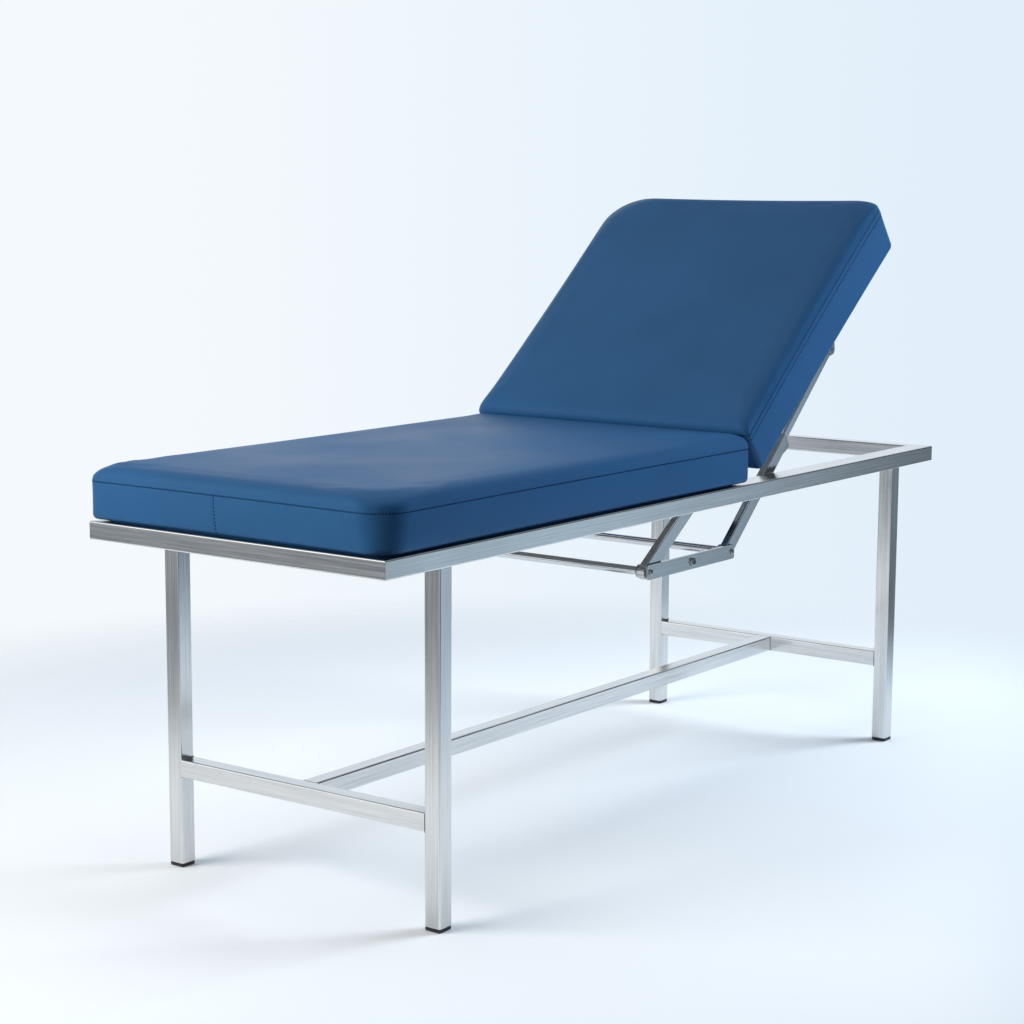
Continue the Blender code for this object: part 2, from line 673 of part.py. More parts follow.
def build_link_bolt(side, place, turn, zinc):
    """A socket-head bolt through the middle of a link, with its nut on the inner face."""
    inner = -LINK_THICKNESS - GAP
    tip = inner - NUT_HEIGHT - BOLT_TAIL
    head = GAP + BOLT_HEAD_HEIGHT
    profile = [
        (BOLT_RADIUS, tip),
        (BOLT_RADIUS, GAP),
        (BOLT_HEAD_RADIUS, GAP),
        (BOLT_HEAD_RADIUS, head),
        (BOLT_SOCKET_RADIUS, head),
        (BOLT_SOCKET_RADIUS, head - BOLT_SOCKET_DEPTH),
    ]
    name = f"link_bolt_{side}"
    add_object(name, turned_mesh(name, profile), zinc, place, turn)
    name = f"link_nut_{side}"
    mesh = round_mesh(name, NUT_RADIUS, inner - NUT_HEIGHT, inner, NUT_SIDES)
    nut = add_object(name, mesh, zinc, place, turn)
    drill(nut, BOLT_RADIUS + GAP, place, tip, GAP, turn=turn)


def toothed_bar_outline():
    """Return the strut bar's side view: a bar with ratchet notches below and an eye at its top."""
    half = BAR_DEPTH / 2
    neck = math.asin(half / EYE_RADIUS)
    outline = [(BAR_START, half), (BAR_START, -half)]
    for tooth in range(TOOTH_COUNT):
        foot = TOOTH_START + tooth * TOOTH_PITCH
        outline += [(foot, -half), (foot, TOOTH_DEPTH - half), (foot + 2 * TOOTH_DEPTH, -half)]
    return outline + arc_points((STRUT_LENGTH, 0), EYE_RADIUS, neck - math.pi, math.pi - neck, ROUND_STEPS)


def build_struts(steel, chrome, nylon, zinc, pivot):
    """Both telescopic struts and the forks under the backrest that their bars are pinned to."""
    top = Vector((REAR_ROD_X - HINGE_X, 0, ROD_Z - HINGE_Z))
    top += STRUT_LENGTH * Vector((math.cos(STRUT_ANGLE), 0, math.sin(STRUT_ANGLE)))
    pin = Matrix.Rotation(BACKREST_ANGLE, 3, "Y") @ top
    bar = toothed_bar_outline()
    for side, sign in SIDES:
        y = sign * STRUT_Y
        carrier = add_pivot(f"strut_pivot_{side}", (REAR_ROD_X, y, ROD_Z), (0, -STRUT_ANGLE, 0))
        name = f"strut_outer_{side}"
        mesh = tube_mesh(name, 0, OUTER_LENGTH, OUTER_WIDTH, OUTER_DEPTH)
        outer = add_object(name, mesh, steel, parent=carrier)
        add_sleeve(outer, OUTER_WIDTH, (0, 0, 0), carrier)
        build_bush(f"strut_bush_{side}", nylon, carrier)
        name = f"strut_bar_{side}"
        inner = add_object(name, prism_mesh(name, bar, -BAR_WIDTH / 2, BAR_WIDTH / 2), chrome, parent=carrier)
        drill(inner, EYE_HOLE_RADIUS, (STRUT_LENGTH, 0, 0), -BAR_WIDTH, BAR_WIDTH, parent=carrier)
        build_strut_bracket(f"strut_bracket_{side}", y, pin, steel, pivot)
        name = f"strut_pin_{side}"
        reach = FORK_HALF + GAP
        mesh = round_mesh(name, STRUT_PIN_RADIUS, -reach, reach)
        add_object(name, mesh, zinc, (pin.x, y, pin.z), parent=pivot)


def build_bush(name, nylon, carrier):
    """A guide bush in the mouth of a strut's outer tube, flush with its end."""
    high = OUTER_LENGTH
    low = high - BUSH_LENGTH
    section = rounded_rectangle(BUSH_WIDTH, BUSH_DEPTH, BUSH_CORNER, TUBE_CORNER_STEPS)
    hole = rounded_rectangle(BAR_WIDTH + 2 * GAP, BAR_DEPTH + 2 * GAP, GAP, TUBE_CORNER_STEPS)
    mesh = loft(name, [[(x, y, z) for y, z in section] for x in (low, high)])
    bush = add_object(name, mesh, nylon, parent=carrier)
    tool = f"{name}_hole"
    mesh = loft(tool, [[(x, y, z) for y, z in hole] for x in (low - BUSH_LENGTH, high + BUSH_LENGTH)])
    boolean(bush, cutter(tool, mesh, (0, 0, 0), carrier), "DIFFERENCE")


def build_strut_bracket(name, y, pin, steel, pivot):
    """A fork under the backrest board: a flange and two cheeks that taper down to the strut's pin."""
    flange_top = BACK_LEVEL - GAP
    flange_low = flange_top - CHEEK
    tip = STRUT_PIN_RADIUS + CHEEK_WALL
    left = pin.x - CHEEK_HALF_BASE
    right = pin.x + CHEEK_HALF_BASE
    flange = [(left, flange_low), (right, flange_low), (right, flange_top), (left, flange_top)]
    slant = math.atan2(CHEEK_HALF_BASE - tip, flange_low - pin.z)
    cheek = arc_points((pin.x, pin.z), tip, math.pi + slant, math.tau - slant, ROUND_STEPS // 2)
    cheek += [(right, flange_low + CHEEK / 2), (left, flange_low + CHEEK / 2)]
    place = (0, y, 0)
    bracket = add_object(name, prism_mesh(name, flange, -FORK_HALF, FORK_HALF), steel, place, parent=pivot)
    for edge in (-1, 1):
        low, high = sorted((edge * (FORK_HALF - CHEEK), edge * FORK_HALF))
        tool = f"{name}_cheek_{edge + 1}"
        boolean(bracket, cutter(tool, prism_mesh(tool, cheek, low, high), place, pivot), "UNION")
    drill(bracket, STRUT_PIN_RADIUS + GAP, (pin.x, y, pin.z), -2 * FORK_HALF, 2 * FORK_HALF, parent=pivot)


def main():
    """Build the table with its backrest raised."""
    clear_scene()
    steel = principled("brushed stainless steel", (0.52, 0.54, 0.55), 0.34, 1.0)
    chrome = principled("chromed steel", (0.62, 0.64, 0.66), 0.16, 1.0)
    zinc = principled("zinc plated steel", (0.46, 0.47, 0.48), 0.38, 1.0)
    plastic = principled("black plastic", (0.012, 0.012, 0.013), 0.5, 0.0)
    nylon = principled("white nylon", (0.55, 0.55, 0.53), 0.45, 0.0)
    vinyl = principled("blue vinyl", (0.028, 0.085, 0.2), 0.42, 0.0)
    plywood = principled("plywood", (0.42, 0.29, 0.17), 0.7, 0.0)

    pivot = add_pivot("backrest_pivot", (HINGE_X, 0, HINGE_Z), (0, -BACKREST_ANGLE, 0))
    build_rails(steel)
    build_legs(steel, plastic)
    build_stretchers(steel)
    build_cross_tubes(steel)
    build_seat(vinyl, plywood, zinc)
    build_hinges(steel, zinc, pivot)
    build_backrest(vinyl, plywood, pivot)
    build_cradle(steel, chrome, zinc)
    build_struts(steel, chrome, nylon, zinc, pivot)


main()
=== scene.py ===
"""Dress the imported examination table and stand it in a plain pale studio.

Metres, in the part's own frame: +X to the head end, -Y the near long side, +Z up, and the origin on the
floor under the middle of the frame.
"""

from __future__ import annotations

import json
import logging
import math
from collections.abc import Sequence
from dataclasses import dataclass, field, replace
from enum import Enum

import bmesh
import bpy
import numpy as np
from bpy.types import Material, Mesh, Node, NodeSocket, NodeTree, Object
from mathutils import Matrix, Vector, noise
from mathutils.bvhtree import BVHTree
from mathutils.interpolate import poly_3d_calc

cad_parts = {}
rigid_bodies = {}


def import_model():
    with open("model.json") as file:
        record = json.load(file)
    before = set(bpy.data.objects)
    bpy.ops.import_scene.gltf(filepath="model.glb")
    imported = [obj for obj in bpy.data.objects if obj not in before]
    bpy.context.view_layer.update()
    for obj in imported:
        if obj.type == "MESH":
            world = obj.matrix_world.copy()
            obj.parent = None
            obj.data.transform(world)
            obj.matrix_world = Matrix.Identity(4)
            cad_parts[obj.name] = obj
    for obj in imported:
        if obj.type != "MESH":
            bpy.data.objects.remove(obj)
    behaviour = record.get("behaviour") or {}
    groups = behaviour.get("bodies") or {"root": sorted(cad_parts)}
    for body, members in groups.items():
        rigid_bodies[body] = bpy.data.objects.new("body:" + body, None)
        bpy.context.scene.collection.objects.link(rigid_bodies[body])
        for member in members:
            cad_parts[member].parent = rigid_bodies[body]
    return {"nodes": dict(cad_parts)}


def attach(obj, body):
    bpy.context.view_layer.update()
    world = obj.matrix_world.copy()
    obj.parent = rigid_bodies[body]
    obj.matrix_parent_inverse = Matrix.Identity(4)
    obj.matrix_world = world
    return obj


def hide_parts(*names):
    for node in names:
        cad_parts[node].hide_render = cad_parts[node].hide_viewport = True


LOG = logging.getLogger("examination_table")

Pair = tuple[float, float]
Point = tuple[float, float, float]
Face = tuple[int, ...]
Colour = tuple[float, float, float, float]

# Sizes that several sub-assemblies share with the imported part
GAP = 0.0003
TUBE = 0.032
RAIL_TOP = 0.640
RAIL_INNER = 0.275
HINGE = Vector((0.164, 0.0, 0.685))
BACKREST_ANGLE = math.radians(38.5)
BACK_LEVEL = -0.0445
ROD_Z = 0.5025
FRONT_ROD_X = -0.124
REAR_ROD_X = 0.165
LINK_OUTER = 0.280
STRUT_Y = 0.266
STRUT_ANGLE = math.radians(42.6)
ARM_ANGLE = math.radians(35.0)
SIDES = (("near", -1), ("far", 1))
SMOOTH_ANGLE = math.radians(35.0)
QUARTER = math.pi / 2
UP = Vector((0, 0, 1))
TINY = 1e-9

# The middle of a noise's range, over which a finish changes
MIDDLE = {"From Min": 0.3, "From Max": 0.7}

# The short cloth simulation that fills out a pad, and the coarser pad that it runs on
FOAM = {
    "quality": 4,
    "mass": 0.3,
    "tension_stiffness": 30,
    "compression_stiffness": 30,
    "bending_stiffness": 1.5,
    "use_pressure": True,
    "uniform_pressure_force": 4,
}
FOAM_FRAMES = 20
COARSE = {"long_steps": 44, "short_steps": 26, "corner_steps": 6, "joint_y": None}


def linear(colour: str) -> Colour:
    """Turn an sRGB hex colour into linear RGBA.

    Args:
        colour: Six hex digits after a hash sign.

    Returns:
        Red, green, blue and an alpha of 1.
    """
    channels = [int(colour[start : start + 2], 16) / 255 for start in (1, 3, 5)]
    values = [c / 12.92 if c <= 0.04045 else ((c + 0.055) / 1.055) ** 2.4 for c in channels]
    return (*values, 1.0)


def add_node(
    tree: NodeTree,
    kind: str,
    settings: dict[str, object] | None = None,
    inputs: dict[str | int, object] | None = None,
) -> Node:
    """Add a node with its settings and links.

    Args:
        tree: The tree that gets the node.
        kind: Blender's type name of the node.
        settings: Values of the node's own properties.
        inputs: A value for an input, or the output socket that feeds it, by the input's name or number.

    Returns:
        The new node.
    """
    node = tree.nodes.new(kind)
    for key, value in (settings or {}).items():
        setattr(node, key, value)
    for key, value in (inputs or {}).items():
        if isinstance(value, NodeSocket):
            tree.links.new(value, node.inputs[key])
        else:
            node.inputs[key].default_value = value
    return node


class Run(Enum):
    """The way that a metal's working marks run, as a turn about Y and the axis that is then along them."""

    ALONG_X = (0.0, 0)
    ALONG_Y = (0.0, 1)
    ALONG_Z = (0.0, 2)
    ALONG_STRUT = (STRUT_ANGLE, 0)
    ALONG_ARM = (ARM_ANGLE, 0)

    def scale(self, across: float, along: float) -> Point:
        """Return a pattern's scale on each axis from its sizes across and along the run, in metres."""
        return tuple(1 / (along if axis == self.value[1] else across) for axis in range(3))


@dataclass(frozen=True)
class Finish:
    """A surface as it was made: its name, the record's slot for it, its Principled values and its pattern.

    The pattern takes the colour from dull to colour, adds the two numbers of sheen to the roughness where
    it is low and high, and dents the surface by relief, a depth in metres and a strength. A finish leaves
    out what its pattern doesn't change. Grain is the pattern's size, and length its size along the run.
    """

    name: str
    slot: str
    colour: str
    roughness: float
    run: Run = Run.ALONG_X
    metallic: float = 0.0
    specular: float = 0.5
    dull: str | None = None
    sheen: Pair | None = None
    relief: Pair | None = None
    grain: float = 0.001
    length: float | None = None
    octaves: float = 3.0
    fineness: float = 0.5
    distortion: float = 0.0

    def material(self) -> Material:
        """Make this finish's material on its first use.

        Returns:
            The material.
        """
        made = bpy.data.materials.get(self.name)
        if made is not None:
            return made
        made = bpy.data.materials.new(self.name)
        made.use_nodes = True
        tree = made.node_tree
        shader = tree.nodes["Principled BSDF"]
        shader.inputs["Base Color"].default_value = linear(self.colour)
        shader.inputs["Roughness"].default_value = self.roughness
        shader.inputs["Metallic"].default_value = self.metallic
        shader.inputs["Specular IOR Level"].default_value = self.specular
        tint, gloss, height = self.pattern(tree)
        if self.dull:
            share = add_node(tree, "ShaderNodeMapRange", None, {"Value": tint, **MIDDLE})
            ends = {0: share.outputs["Result"], 6: linear(self.dull), 7: linear(self.colour)}
            mixed = add_node(tree, "ShaderNodeMix", {"data_type": "RGBA"}, ends)
            tree.links.new(mixed.outputs[2], shader.inputs["Base Color"])
        if self.sheen:
            ends = {"To Min": self.roughness + self.sheen[0], "To Max": self.roughness + self.sheen[1]}
            ranged = add_node(tree, "ShaderNodeMapRange", None, {"Value": gloss, **MIDDLE, **ends})
            tree.links.new(ranged.outputs["Result"], shader.inputs["Roughness"])
        if self.relief:
            dent = {"Height": height, "Distance": self.relief[0], "Strength": self.relief[1]}
            bump = add_node(tree, "ShaderNodeBump", None, dent)
            tree.links.new(bump.outputs["Normal"], shader.inputs["Normal"])
        return made

    def pattern(self, tree: NodeTree) -> tuple[NodeSocket, NodeSocket, NodeSocket]:
        """Add the pattern's nodes: one noise for all, unless a finish has more.

        Args:
            tree: The material's tree.

        Returns:
            The values that drive the colour, the gloss and the relief.
        """
        marks = {
            "Vector": self.place(tree, self.grain, self.length),
            "Scale": 1.0,
            "Detail": self.octaves,
            "Roughness": self.fineness,
            "Distortion": self.distortion,
        }
        value = add_node(tree, "ShaderNodeTexNoise", None, marks).outputs["Fac"]
        return value, value, value

    def place(self, tree: NodeTree, size: float, length: float | None = None) -> NodeSocket:
        """Measure Object coordinates in units of a pattern's size.

        Args:
            tree: The material's tree.
            size: The pattern's size in metres.
            length: Its size along the run, where that differs; the coordinates then turn with the run.

        Returns:
            The socket with the coordinates.
        """
        source = add_node(tree, "ShaderNodeTexCoord").outputs["Object"]
        turn = self.run.value[0]
        if turn and length:
            spin = {"Vector": source, "Rotation": (0.0, turn, 0.0)}
            source = add_node(tree, "ShaderNodeMapping", None, spin).outputs["Vector"]
        sized = {"Vector": source, "Scale": self.run.scale(size, length or size)}
        return add_node(tree, "ShaderNodeMapping", None, sized).outputs["Vector"]


@dataclass(frozen=True)
class BrushedSteel(Finish):
    """Stainless tube, belt-brushed along its length: fine bright and dark lines in a satin sheen.

    Real brush lines are about 0.2 mm wide. They are drawn 2.6 mm wide so that they show in the render.
    """

    metallic: float = 1.0
    dull: str | None = "#cacccd"
    sheen: Pair | None = (-0.02, 0.03)
    relief: Pair | None = (0.000012, 0.08)
    grain: float = 0.0026
    length: float | None = 0.240
    octaves: float = 5.0
    fineness: float = 0.65
    cloud: float = 0.140
    cloud_octaves: float = 2.0
    cloud_share: float = 0.5

    def pattern(self, tree: NodeTree) -> tuple[NodeSocket, NodeSocket, NodeSocket]:
        """Add brush lines, and slow clouds of handling that change only the gloss.

        Args:
            tree: The material's tree.

        Returns:
            The values that drive the colour, the gloss and the relief.
        """
        lines = super().pattern(tree)[0]
        handling = {"Vector": self.place(tree, self.cloud), "Scale": 1.0, "Detail": self.cloud_octaves}
        clouds = add_node(tree, "ShaderNodeTexNoise", None, handling).outputs["Fac"]
        over = {0: clouds, 1: self.cloud_share, 2: lines}
        both = add_node(tree, "ShaderNodeMath", {"operation": "MULTIPLY_ADD"}, over)
        middle = {0: both.outputs["Value"], 1: self.cloud_share / 2}
        gloss = add_node(tree, "ShaderNodeMath", {"operation": "SUBTRACT"}, middle)
        return lines, gloss.outputs["Value"], lines


@dataclass(frozen=True)
class PlatedSteel(Finish):
    """Nickel and chrome plated steel: a bright mirror, softened a little by the draw marks below it."""

    metallic: float = 1.0
    sheen: Pair | None = (-0.03, 0.05)
    relief: Pair | None = (0.00003, 0.2)
    grain: float = 0.0022
    length: float | None = 0.300


@dataclass(frozen=True)
class ZincPlate(Finish):
    """Bright zinc plate with a clear passivation: cool grey, slightly cloudy, with small dull spots."""

    metallic: float = 1.0
    dull: str | None = "#8f959b"
    sheen: Pair | None = (0.1, -0.06)
    grain: float = 0.004
    octaves: float = 4.0


@dataclass(frozen=True)
class WeldBead(Finish):
    """A stainless weld, wire-brushed but not ground: ripples with straw and blue heat tint."""

    metallic: float = 1.0
    dull: str | None = "#a39a8a"
    grain: float = 0.009
    octaves: float = 2.0


@dataclass(frozen=True)
class MouldedPlastic(Finish):
    """A moulded plastic with a spark-eroded skin: fine even grit that breaks up its gloss.

    The real grit is about 0.1 mm. It is drawn coarser so that it shows in the render.
    """

    sheen: Pair | None = (-0.07, 0.1)
    relief: Pair | None = (0.00012, 0.4)
    grain: float = 0.0011


@dataclass(frozen=True)
class Vinyl(Finish):
    """PVC-coated upholstery fabric, embossed with a fine hide grain: a soft gloss with tiny pebbles.

    The real pebbles are about 0.8 mm. They are drawn at 2.2 mm so that they show in the render.
    """

    specular: float = 0.19
    dull: str | None = "#27547f"
    sheen: Pair | None = (-0.04, 0.05)
    relief: Pair | None = (0.00045, 0.42)
    grain: float = 0.190
    pebble: float = 0.0022
    pebble_softness: float = 0.6
    pebble_height: float = -0.7
    crease: float = 0.0040

    def pattern(self, tree: NodeTree) -> tuple[NodeSocket, NodeSocket, NodeSocket]:
        """Add slow changes of shade and gloss where the cover is stretched, and pebbles in relief.

        Args:
            tree: The material's tree.

        Returns:
            The values that drive the colour, the gloss and the relief.
        """
        shades = super().pattern(tree)[0]
        hide = {"Vector": self.place(tree, self.pebble), "Scale": 1.0, "Smoothness": self.pebble_softness}
        cells = add_node(tree, "ShaderNodeTexVoronoi", {"feature": "SMOOTH_F1"}, hide).outputs["Distance"]
        folds = {"Vector": self.place(tree, self.crease), "Scale": 1.0, "Detail": self.octaves}
        creases = add_node(tree, "ShaderNodeTexNoise", None, folds).outputs["Fac"]
        both = {0: cells, 1: self.pebble_height, 2: creases}
        grain = add_node(tree, "ShaderNodeMath", {"operation": "MULTIPLY_ADD"}, both)
        return shades, shades, grain.outputs["Value"]


@dataclass(frozen=True)
class BondedThread(Finish):
    """Bonded polyester sewing thread: dark, dull, with the plies of its twist in shade and relief."""

    specular: float = 0.05
    dull: str | None = "#081426"
    relief: Pair | None = (0.0002, 0.4)
    grain: float = 0.0006
    octaves: float = 2.0


@dataclass(frozen=True)
class Plywood(Finish):
    """Plywood under a thin grey sealing coat: a dull even grey with the long grain showing through."""

    dull: str | None = "#6d6c69"
    relief: Pair | None = (0.0002, 0.3)
    grain: float = 0.006
    length: float | None = 0.160
    octaves: float = 5.0
    distortion: float = 0.6


STEEL_X = BrushedSteel("brushed stainless tube along X", "frame_steel", "#eeedea", 0.20, Run.ALONG_X)
STEEL_Y = BrushedSteel("brushed stainless tube along Y", "frame_steel", "#eeedea", 0.20, Run.ALONG_Y)
STEEL_Z = BrushedSteel("brushed stainless tube along Z", "frame_steel", "#eeedea", 0.20, Run.ALONG_Z)
PLATE_X = PlatedSteel("nickel plated flat bar", "frame_steel", "#c3c5c6", 0.17, Run.ALONG_X)
PLATE_ARM = PlatedSteel("nickel plated arm tube", "frame_steel", "#c3c5c6", 0.15, Run.ALONG_ARM)
PLATE_STRUT = PlatedSteel("nickel plated strut tube", "frame_steel", "#c3c5c6", 0.15, Run.ALONG_STRUT)
CHROME_BAR = PlatedSteel("chromed strut bar", "rod_chrome", "#d2d5d8", 0.10, Run.ALONG_STRUT)
CHROME_ROD = PlatedSteel("chromed round rod", "rod_chrome", "#d2d5d8", 0.09, Run.ALONG_Y)
ZINC = ZincPlate("zinc plated fastener", "fastener_zinc", "#b9bec3", 0.30)
WELD = WeldBead("stainless weld bead", "frame_steel", "#bfc4c8", 0.33)
FOOT = MouldedPlastic("black polypropylene", "foot_plastic", "#1b1c1e", 0.50)
NYLON = MouldedPlastic("natural nylon", "bush_nylon", "#d4d3cb", 0.40)
VINYL = Vinyl("blue upholstery vinyl", "vinyl", "#2a5987", 0.44)
THREAD = BondedThread("navy bonded thread", "vinyl", "#0f2240", 0.85)
PLYWOOD = Plywood("sealed plywood", "plywood", "#868581", 0.62)


def finish_mesh(builder: bmesh.types.BMesh, name: str) -> Mesh:
    """Turn a finished bmesh into a mesh and free it.

    Args:
        builder: The shape.
        name: The mesh's name.

    Returns:
        The mesh, shaded smooth up to the smooth angle.
    """
    mesh = bpy.data.meshes.new(name)
    builder.to_mesh(mesh)
    builder.free()
    mesh.shade_smooth()
    mesh.set_sharp_from_angle(angle=SMOOTH_ANGLE)
    return mesh


def loft(name: str, rings: Sequence[Sequence[Sequence[float]]], bored: bool = False) -> Mesh:
    """Make a closed mesh through rings of equal point counts.

    Args:
        name: The mesh's name.
        rings: Each ring's points.
        bored: True if the last ring joins the first one again, False if both ends are capped.

    Returns:
        The mesh.
    """
    builder = bmesh.new()
    loops = [[builder.verts.new(point) for point in ring] for ring in rings]
    count = len(loops[0])
    pairs = list(zip(loops, loops[1:]))
    if bored:
        pairs.append((loops[-1], loops[0]))
    else:
        builder.faces.new(loops[0][::-1])
        builder.faces.new(loops[-1])
    for low, high in pairs:
        for index in range(count):
            after = (index + 1) % count
            builder.faces.new((low[index], low[after], high[after], high[index]))
    bmesh.ops.recalc_face_normals(builder, faces=builder.faces[:])
    return finish_mesh(builder, name)


def turned(name: str, profile: Sequence[Pair], steps: int = 48, bored: bool = False) -> Mesh:
    """Turn a profile about Z.

    Args:
        name: The mesh's name.
        profile: Radius and height of each ring.
        steps: Points on each ring.
        bored: True for a ring with a bore, whose profile runs back to its start.

    Returns:
        The closed mesh.
    """
    angles = [math.tau * index / steps for index in range(steps)]
    rings = [[(r * math.cos(a), r * math.sin(a), z) for a in angles] for r, z in profile]
    return loft(name, rings, bored)


def rounded_square(half: float, radius: float, steps: int = 5) -> list[Pair]:
    """Outline a square with round corners.

    Args:
        half: Half its width.
        radius: The corners' radius.
        steps: Steps on each corner.

    Returns:
        The outline's points.
    """
    points = []
    flat = half - radius
    for index, (sx, sy) in enumerate(((1, 1), (-1, 1), (-1, -1), (1, -1))):
        for step in range(steps + 1):
            angle = QUARTER * (index + step / steps)
            points.append((sx * flat + radius * math.cos(angle), sy * flat + radius * math.sin(angle)))
    return points


def place_piece(name: str, mesh: Mesh, finish: Finish, body: str, replaces: Sequence[str] = ()) -> Object:
    """Link a finished mesh as a piece that rides on a body.

    Args:
        name: The piece's name.
        mesh: Its mesh, in the part's frame.
        finish: Its finish.
        body: The body that it rides on.
        replaces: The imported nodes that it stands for.

    Returns:
        The piece.
    """
    if not mesh.materials:
        mesh.materials.append(finish.material())
    piece = bpy.data.objects.new(name, mesh)
    bpy.context.scene.collection.objects.link(piece)
    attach(piece, body)
    if replaces:
        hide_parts(*replaces)
    LOG.info("%s: %d faces on %s", name, len(mesh.polygons), body)
    return piece


def dress_nodes(nodes: dict[str, Object], finishes: dict[Finish, tuple[str, ...]]) -> None:
    """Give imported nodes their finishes.

    Args:
        nodes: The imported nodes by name.
        finishes: For each finish, how the names of its nodes start.
    """
    for finish, starts in finishes.items():
        for name, node in nodes.items():
            if name.startswith(starts):
                node.material_slots[0].material = finish.material()
                LOG.info("%s: %s", name, finish.name)


@dataclass(frozen=True)
class Repeater:
    """A geometry node tree that sets one small shape at even steps along the edges of a path mesh."""

    name: str
    pitch: float
    seed: int = 3

    def tree(self) -> NodeTree:
        """Make the tree on its first use, with inputs for the item, its pitch, up and loose turn.

        Returns:
            The tree.
        """
        title = "items along a path"
        made = bpy.data.node_groups.get(title)
        if made is not None:
            return made
        made = bpy.data.node_groups.new(title, "GeometryNodeTree")
        sockets = {
            "Path": "NodeSocketGeometry",
            "Item": "NodeSocketObject",
            "Pitch": "NodeSocketFloat",
            "Up": "NodeSocketVector",
            "Loose turn": "NodeSocketFloat",
            "Seed": "NodeSocketInt",
            "Finish": "NodeSocketMaterial",
        }
        for socket, kind in sockets.items():
            made.interface.new_socket(socket, in_out="INPUT", socket_type=kind)
        made.interface.new_socket("Items", in_out="OUTPUT", socket_type="NodeSocketGeometry")
        given = add_node(made, "NodeGroupInput").outputs
        curve = add_node(made, "GeometryNodeMeshToCurve", None, {"Mesh": given["Path"]}).outputs["Curve"]
        even = {"Curve": curve, "Length": given["Pitch"]}
        steps = add_node(made, "GeometryNodeResampleCurve", {"mode": "LENGTH"}, even).outputs["Curve"]
        align = "FunctionNodeAlignRotationToVector"
        upright = add_node(made, align, {"axis": "Z"}, {"Vector": given["Up"]}).outputs["Rotation"]
        tangent = add_node(made, "GeometryNodeInputTangent").outputs["Tangent"]
        ahead = {"Rotation": upright, "Vector": tangent}
        along = add_node(made, align, {"axis": "X", "pivot_axis": "Z"}, ahead).outputs["Rotation"]
        other = {0: given["Loose turn"], 1: -1.0}
        least = add_node(made, "ShaderNodeMath", {"operation": "MULTIPLY"}, other).outputs["Value"]
        turns = {2: least, 3: given["Loose turn"], "Seed": given["Seed"]}
        loose = add_node(made, "FunctionNodeRandomValue", {"data_type": "FLOAT"}, turns).outputs[1]
        spin = add_node(made, "ShaderNodeCombineXYZ", None, {"Z": loose}).outputs["Vector"]
        both = {"Rotation": along, "Rotate By": spin}
        turn = add_node(made, "FunctionNodeRotateRotation", {"rotation_space": "LOCAL"}, both)
        single = {"Object": given["Item"], "As Instance": True}
        item = add_node(made, "GeometryNodeObjectInfo", None, single).outputs["Geometry"]
        copies = {"Points": steps, "Instance": item, "Rotation": turn.outputs["Rotation"]}
        items = add_node(made, "GeometryNodeInstanceOnPoints", None, copies).outputs["Instances"]
        real = add_node(made, "GeometryNodeRealizeInstances", None, {"Geometry": items}).outputs["Geometry"]
        coat = {"Geometry": real, "Material": given["Finish"]}
        dressed = add_node(made, "GeometryNodeSetMaterial", None, coat).outputs["Geometry"]
        add_node(made, "NodeGroupOutput", None, {"Items": dressed})
        return made

    def along(
        self,
        paths: Sequence[Sequence[Vector]],
        item: Mesh,
        finish: Finish,
        up: Vector = UP,
        loose_turn: float = 0.0,
    ) -> Mesh:
        """Repeat an item along open paths.

        Args:
            paths: The points of each path.
            item: The item's mesh, along X with Z up.
            finish: The items' finish.
            up: The direction that the items' Z follows.
            loose_turn: The most that an item turns about its Z, in radians.

        Returns:
            A plain mesh of all the items, in the part's frame.
        """
        points = [point for path in paths for point in path]
        edges = []
        start = 0
        for path in paths:
            edges += [(start + index, start + index + 1) for index in range(len(path) - 1)]
            start += len(path)
        line = bpy.data.meshes.new(f"{self.name} path")
        line.from_pydata(points, edges, [])
        holder = bpy.data.objects.new(f"{self.name} path", line)
        shape = bpy.data.objects.new(f"{self.name} item", item)
        for helper in (holder, shape):
            bpy.context.scene.collection.objects.link(helper)
        step = holder.modifiers.new("items", "NODES")
        step.node_group = self.tree()
        values = {
            "Item": shape,
            "Pitch": self.pitch,
            "Up": tuple(up),
            "Loose turn": loose_turn,
            "Seed": self.seed,
            "Finish": finish.material(),
        }
        for socket in step.node_group.interface.items_tree:
            if socket.in_out == "INPUT" and socket.name in values:
                step[socket.identifier] = values[socket.name]
        graph = bpy.context.evaluated_depsgraph_get()
        made = bpy.data.meshes.new_from_object(holder.evaluated_get(graph))
        made.name = self.name
        made.shade_smooth()
        made.set_sharp_from_angle(angle=SMOOTH_ANGLE)
        for helper in (holder, shape):
            bpy.data.objects.remove(helper, do_unlink=True)
        return made


